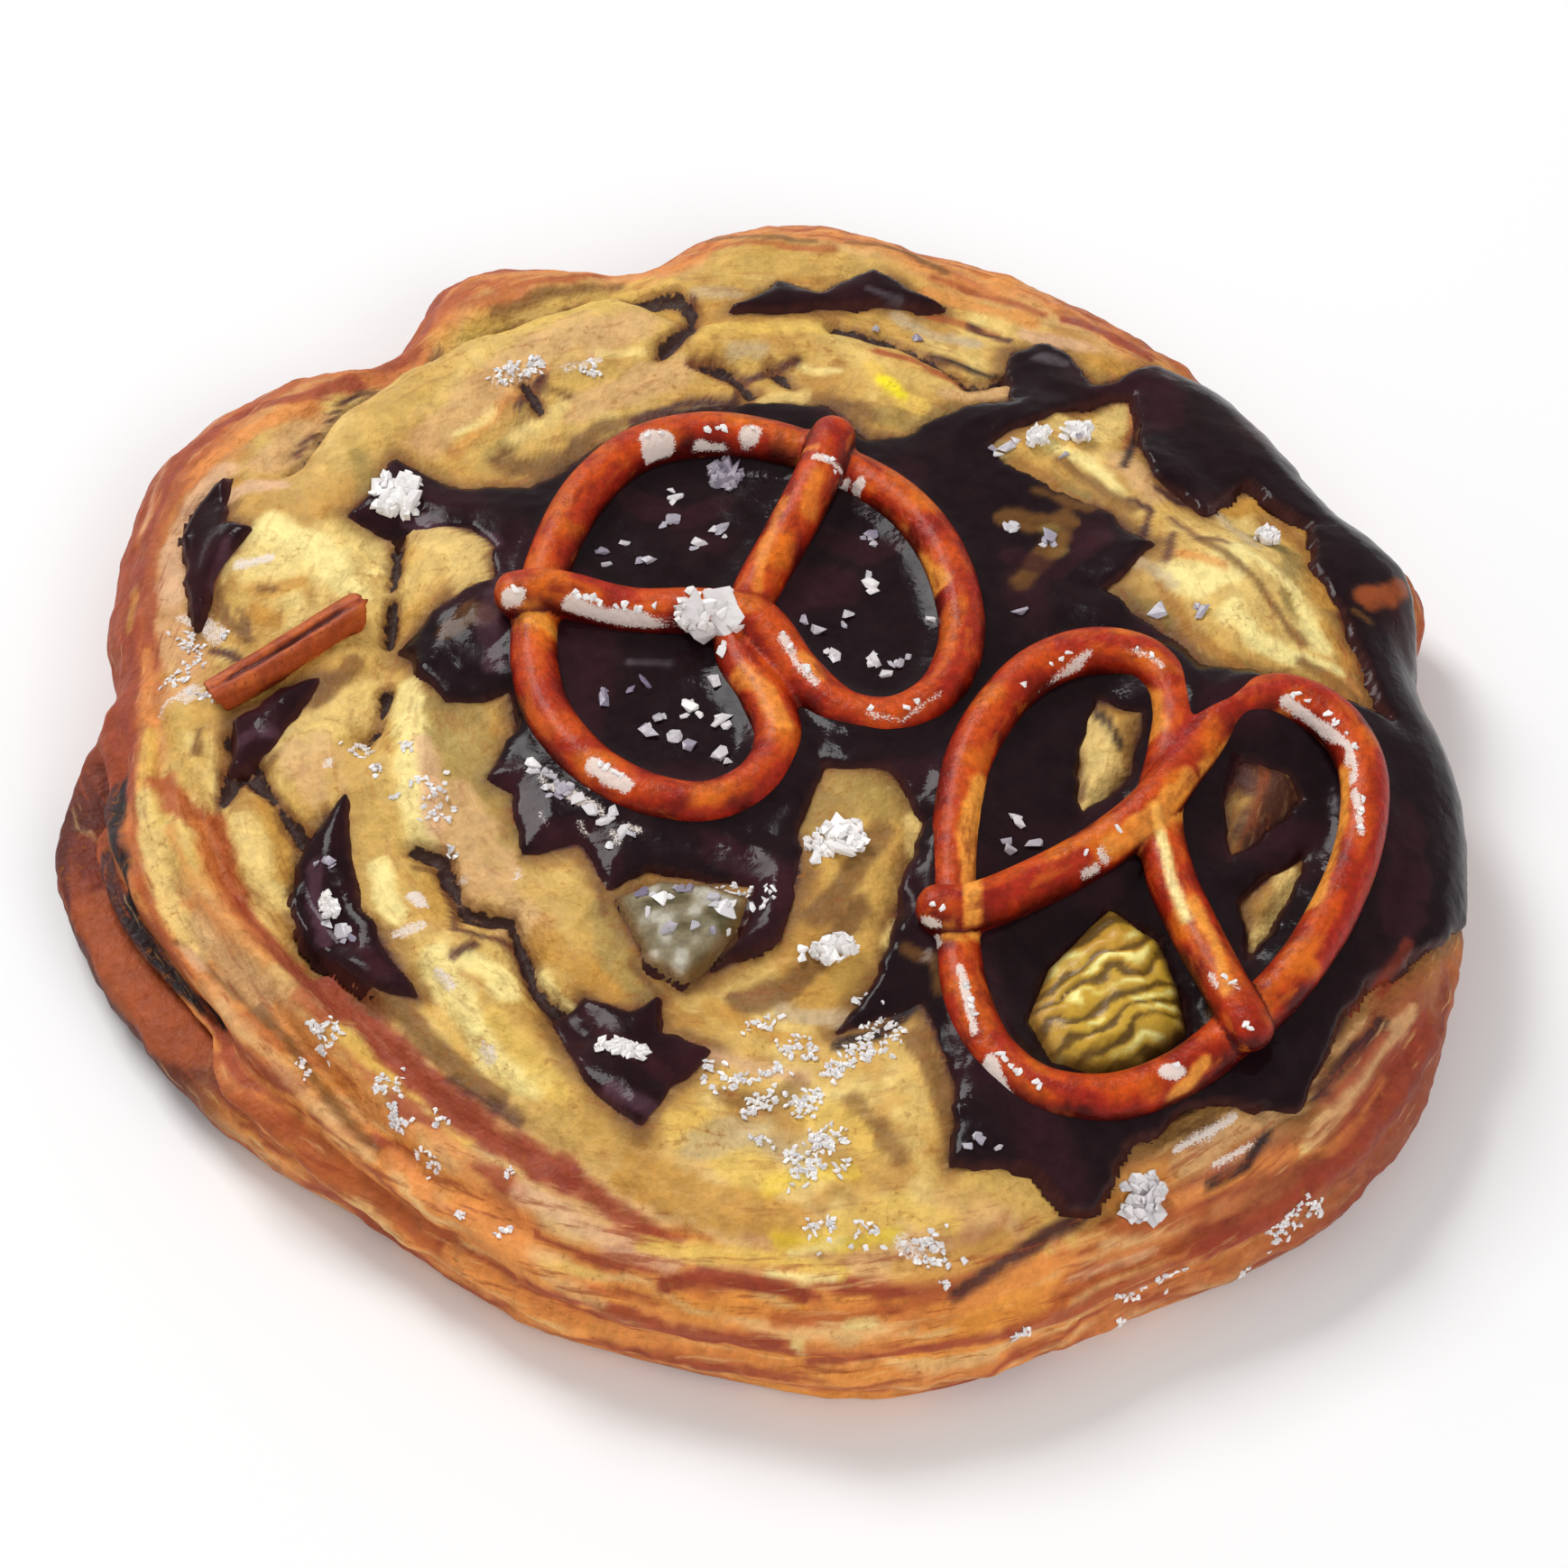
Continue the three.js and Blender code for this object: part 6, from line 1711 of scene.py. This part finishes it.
def laid_on(place, size, tone, sunk=0.25):
    """A crystal on the surface nearest to a place, with the share of its height that is sunk in it."""
    hits = [surface.find_nearest(place)[:2] for surface in surfaces]
    spot, normal = min(hits, key=lambda hit: (hit[0] - Vector(place)).length)
    corners, faces = crystal(size)
    turned = Matrix.Rotation(rng.uniform(0, 6.3), 3, "Z")
    lean = Vector(normal).to_track_quat("Z", "Y").to_matrix() @ turned
    corners = corners @ np.array(lean).T + spot + np.array(normal) * size[2] * (0.5 - sunk)
    return corners, faces, tone


def salt_piece(name, crystals):
    points = np.concatenate([corners for corners, _, _ in crystals])
    starts = np.cumsum([0] + [len(corners) for corners, _, _ in crystals])
    faces = []
    for (_, own, _), start in zip(crystals, starts):
        faces += [[k + start for k in face] for face in own]
    piece = make_mesh(name, points, faces, smooth_faces=False)
    tones = [np.full(len(corners), tone) for corners, _, tone in crystals]
    set_values(piece, "tone", np.concatenate(tones))
    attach(piece, "root")
    print(f"{name}: {len(crystals)} crystals, {len(faces)} faces")
    return piece


# %% Big flakes
FLAKES = [
    # on the map: x, y, how far over the skin, length, width, turn in degrees, tone
    (-29.6, 21.8, 0.9, 5.4, 4.4, 100, 0.95), (4.9, -15, 0.4, 5.4, 3.8, 20, 1),
    (4.6, -25, 0.4, 5, 2.8, 15, 1),
    (27.2, -43.8, 0.4, 4.6, 3.8, 60, 0.75), (-3.5, 24, 0.9, 3.4, 2.6, 80, 0.25),
    (-10.8, -33.2, 0.9, 4, 1.8, 160, 1), (21.2, 27.6, 0.3, 2.4, 1.6, 50, 1),
    (24.6, 28.4, 0.3, 2.8, 2, 20, 1),
    (39.4, 18, 0.3, 2.6, 1.4, 150, 0.9), (-33.4, -18.6, 0.9, 2.2, 1.3, 100, 1),
]
PRETZEL_FLAKE = (-5.0, 5.6, 19.0, 6.2, 5.2, 85, 0.95)  # the same, but with its height in mm third
FLAKE_CRYSTALS = 36
SLABS = 5
SLAB_TURN = 1.26  # radians from one slab to the next


def flake(foot, length, width, turn, tone):
    """A few broad slabs, and smaller crystals on and round them."""
    along = np.array([math.cos(math.radians(turn)), math.sin(math.radians(turn)), 0])
    across = np.array([-along[1], along[0], 0])
    crystals = []
    for k in range(FLAKE_CRYSTALS):
        out, about = math.sqrt(rng.random()) * 0.5, rng.uniform(0, 2 * math.pi)
        broad, high, sunk = rng.uniform(0.5, 1.1), rng.uniform(0.35, 0.55), 0.25
        if k < SLABS:
            out, about = 0.22, about / 6 + k * SLAB_TURN
            broad, high, sunk = 0.62 * width, 0.75, 0.5
        place = foot + along * length * out * math.cos(about) + across * width * out * math.sin(about)
        size = np.array([broad, broad * rng.uniform(0.7, 0.95), high])
        crystals.append(laid_on(place, size, tone - rng.uniform(0, 0.2), sunk))
        if k < SLABS:
            surfaces.append(BVHTree.FromPolygons(crystals[-1][0].tolist(), crystals[-1][1]))
    return crystals


crystals = []
for x, y, over, *form in FLAKES:
    crystals += flake(on_skin(np.array([x]), np.array([y]), np.array([over]))[0], *form)
x, y, height, *form = PRETZEL_FLAKE
crystals += flake(np.array([x, y, height]), *form)
big_salt = salt_piece("salt_flakes", crystals)

# %% Grains in the chocolate
GRAIN_PLACES = [
    # inside the first pretzel: back, right and front loop
    (-7.6, 21.5), (-7.9, 19), (-13.3, 15.6), (-9.7, 14.6), (-5.7, 16.5), (-3.9, 18), (7.9, 16.9),
    (7.8, 11.7), (12.7, 8.7), (2.7, 8.1), (3.8, 6.8), (6, 8.4), (4.9, 4.2), (8.1, 3.7), (9.8, 3.1),
    (8.9, 2.2), (-12.9, -0.4), (-9.8, 1.5), (-6.3, -0.9), (-4.5, 1.4), (-3.8, -2.6), (-8.7, -2.2),
    (-9.4, -3.6), (-7.3, -4.1), (-6.2, -5), (-3.9, -5.8),
    # along the front left edge of the pool
    (-18.2, -6.9), (-16.8, -8.2), (-15.8, -9.4), (-14.7, -10.4), (-13.7, -11.3), (-12.5, -12.4),
    (-11.2, -13.6), (-14.8, -8.7), (-13.4, -9.6), (-18.4, 4.6), (-17.6, 3.8),
    # on the left chunk and on the nut
    (-33.4, -15), (-32.3, -21), (-31.6, -21.8), (-9.6, -19.6), (-8.2, -20.4), (-6.2, -19.4),
    (-4.4, -20.2), (-3.2, -21.4), (-7.4, -22.6), (-5.6, -22.8),
    # inside the second pretzel, and beside the big island
    (18.8, -12.6), (19.8, -14.6), (18.1, -15.1), (19.4, 8.7), (15.2, -41.1), (8.6, 42.4), (12, 41.4),
    (18.4, 26.7), (23.4, 25.7), (19.1, 18.2), (21.7, 16.6), (29.5, 8), (32.7, 7.6), (39.7, 20.5),
]
crystals = []
for x, y in GRAIN_PLACES:
    tone = rng.uniform(0.0, 0.7)
    for k in range(rng.integers(1, 5)):
        near = np.array([x, y]) + (k > 0) * rng.normal(0, 0.7, 2)
        foot = on_skin(near[:1], near[1:], np.array([0.9]))[0]
        size = rng.uniform([0.8, 0.6, 0.3], [1.7, 1.3, 0.5]) / (1 + 0.6 * (k > 0))
        crystals.append(laid_on(foot, size, np.clip(tone + rng.normal(0, 0.15), 0, 1)))
grains = salt_piece("salt_grains", crystals)

# %% Salt dried on the pretzels
OVER_PRETZELS = 20.5  # mm up; from there the nearest surface is the top of a rope
PRETZEL_SALT_COUNT = 3.2  # crystals for a stroke that is 1 mm long and has a half width of 1 mm
crystals = []
for node, table in PRETZEL_STROKES.items():
    for salt, strength, wide, line in table:
        if salt != "white":
            continue
        for (ax, ay), (bx, by) in zip(line[:-1], line[1:]):
            area = math.hypot(bx - ax, by - ay) * wide
            for _ in range(max(1, round(area * PRETZEL_SALT_COUNT * strength))):
                share, (u, v) = rng.random(), rng.normal(0, 0.5 * wide, 2)
                place = (ax + share * (bx - ax) + u, ay + share * (by - ay) + v, OVER_PRETZELS)
                size = rng.uniform([0.35, 0.3, 0.2], [0.8, 0.6, 0.35])
                crystals.append(laid_on(place, size, rng.uniform(0.75, 1.0), sunk=0.4))
pretzel_salt = salt_piece("pretzel_salt", crystals)

# %% [markdown]
# Fine salt falls in pinches, and each pinch leaves its crystals close together.

# %% Fine salt on the dough
SALT_DRIFTS = [
    # how many pinches, half width, line on the map
    (26, 4.0, [(-4, -33), (2, -38), (4, -46)]),
    (12, 2.5, [(-10, -18), (-5, -21), (-1, -20)]),
    (12, 2.0, [(-3, -31), (6, -33), (10, -30)]),
    (18, 2.5, [(-34, -28), (-29, -34), (-23, -41), (-13, -47)]),
    (6, 1.6, [(-45, 11), (-45.5, 3)]),
    (8, 1.8, [(-24, -16), (-26, -8), (-31, -5)]),
    (6, 0.8, [(-22.4, 35.2), (-14, 37.1)]),
    (10, 3.0, [(16, -56), (32, -52), (42, -44)]),
    (5, 1.5, [(9, -48), (13, -50)]),
]
crystals = []
for count, wide, line in SALT_DRIFTS:
    line = np.array(line, float)
    at = rng.uniform(0, len(line) - 1, count)
    step = np.minimum(at.astype(int), len(line) - 2)
    pinch = line[step] + (at - step)[:, None] * (line[step + 1] - line[step])
    pinch += rng.normal(0, wide / 2, (count, 2))
    for centre in pinch:
        amount = rng.integers(5, 20)
        place = centre + rng.normal(0, 0.04 * amount, (amount, 2))
        for foot in on_skin(place[:, 0], place[:, 1], np.zeros(amount)):
            size = rng.uniform([0.25, 0.2, 0.15], [0.65, 0.5, 0.35])
            crystals.append(laid_on(foot, size, rng.uniform(0.6, 1.0)))
fine_salt = salt_piece("fine_salt", crystals)

# %% The finish of the salt
tree = Tree("salt")
tone = tree.value("tone")
colour = tree.mix(tone, paint(124, 114, 136), paint(254, 250, 246))
colour = tree.mix(tree.range(tree.spots(1.2), 0.5, 0.7, 0.0, 0.25), colour, paint(230, 216, 220))
tree.set(base_color=colour, roughness=0.35, specular_ior_level=0.5, subsurface_weight=0.25)
tree.surface.inputs["Subsurface Radius"].default_value = (0.6, 0.6, 0.7)
tree.surface.inputs["Subsurface Scale"].default_value = 0.6 * MM
tree.set(normal=tree.bump(tree.spots(0.6), 0.15, 0.6))
tree.dress(big_salt, grains, pretzel_salt, fine_salt)

# %% [markdown]
# ## Floor, light and camera
# The cookie lies on a plain white floor under soft light. A broad light from the back left draws the
# folds and leaves the front rim a shade darker; a weaker one from the front right fills it. The
# weaker one isn't mirrored in glossy surfaces, because it would turn the dark chocolate grey. The
# camera looks down at fifty degrees through a long lens.

# %% Floor
floor_mesh = bpy.data.meshes.new("floor")
FLOOR_HALF = 3.0
corners = [(FLOOR_HALF * x, FLOOR_HALF * y, 0) for x, y in ((-1, -1), (1, -1), (1, 1), (-1, 1))]
floor_mesh.from_pydata(corners, [], [(0, 1, 2, 3)])
floor = bpy.data.objects.new("floor", floor_mesh)
bpy.context.scene.collection.objects.link(floor)
tree = Tree("floor")
tree.set(base_color=(0.92, 0.92, 0.92, 1), roughness=0.9, specular_ior_level=0.1)
tree.dress(floor)


# %% Lights
def soft_light(name, place, size, power, target=(0, 0, 0.01)):
    """A square soft light, in metres and watts, that faces the target."""
    data = bpy.data.lights.new(name, "AREA")
    data.size = size
    data.energy = power
    lamp = bpy.data.objects.new(name, data)
    bpy.context.scene.collection.objects.link(lamp)
    lamp.location = place
    towards = np.array(target) - np.array(place)
    yaw = math.atan2(towards[1], towards[0]) - math.pi / 2
    pitch = math.atan2(math.hypot(towards[0], towards[1]), -towards[2])
    lamp.rotation_euler = (pitch, 0, yaw)
    return lamp


WORLD_STRENGTH = 0.45
soft_light("key", place=(-0.32, 0.38, 0.55), size=0.3, power=3.6)
fill = soft_light("fill", place=(0.3, -0.5, 0.36), size=0.5, power=2.0)
fill.visible_glossy = False
world = bpy.data.worlds.new("studio")
world.use_nodes = True
backdrop = world.node_tree.nodes["Background"]
backdrop.inputs["Color"].default_value = (1, 1, 1, 1)
backdrop.inputs["Strength"].default_value = WORLD_STRENGTH
bpy.context.scene.world = world
bpy.context.scene.view_settings.view_transform = "Standard"

# %% Camera
ELEVATION = math.radians(50)
DISTANCE = 0.45
LOOK_AT = np.array([1.0 + SHIFT[0], -2.0 + SHIFT[1], 8.0]) * MM
SENSOR = 36.0
LENS = 132.36

camera_data = bpy.data.cameras.new("camera")
camera_data.sensor_width = SENSOR
camera_data.lens = LENS
camera_data.clip_start = 0.01
camera = bpy.data.objects.new("camera", camera_data)
bpy.context.scene.collection.objects.link(camera)
away = np.array([0, -math.cos(ELEVATION), math.sin(ELEVATION)])
camera.location = LOOK_AT + away * DISTANCE
camera.rotation_euler = (math.pi / 2 - ELEVATION, 0, 0)
bpy.context.scene.camera = camera
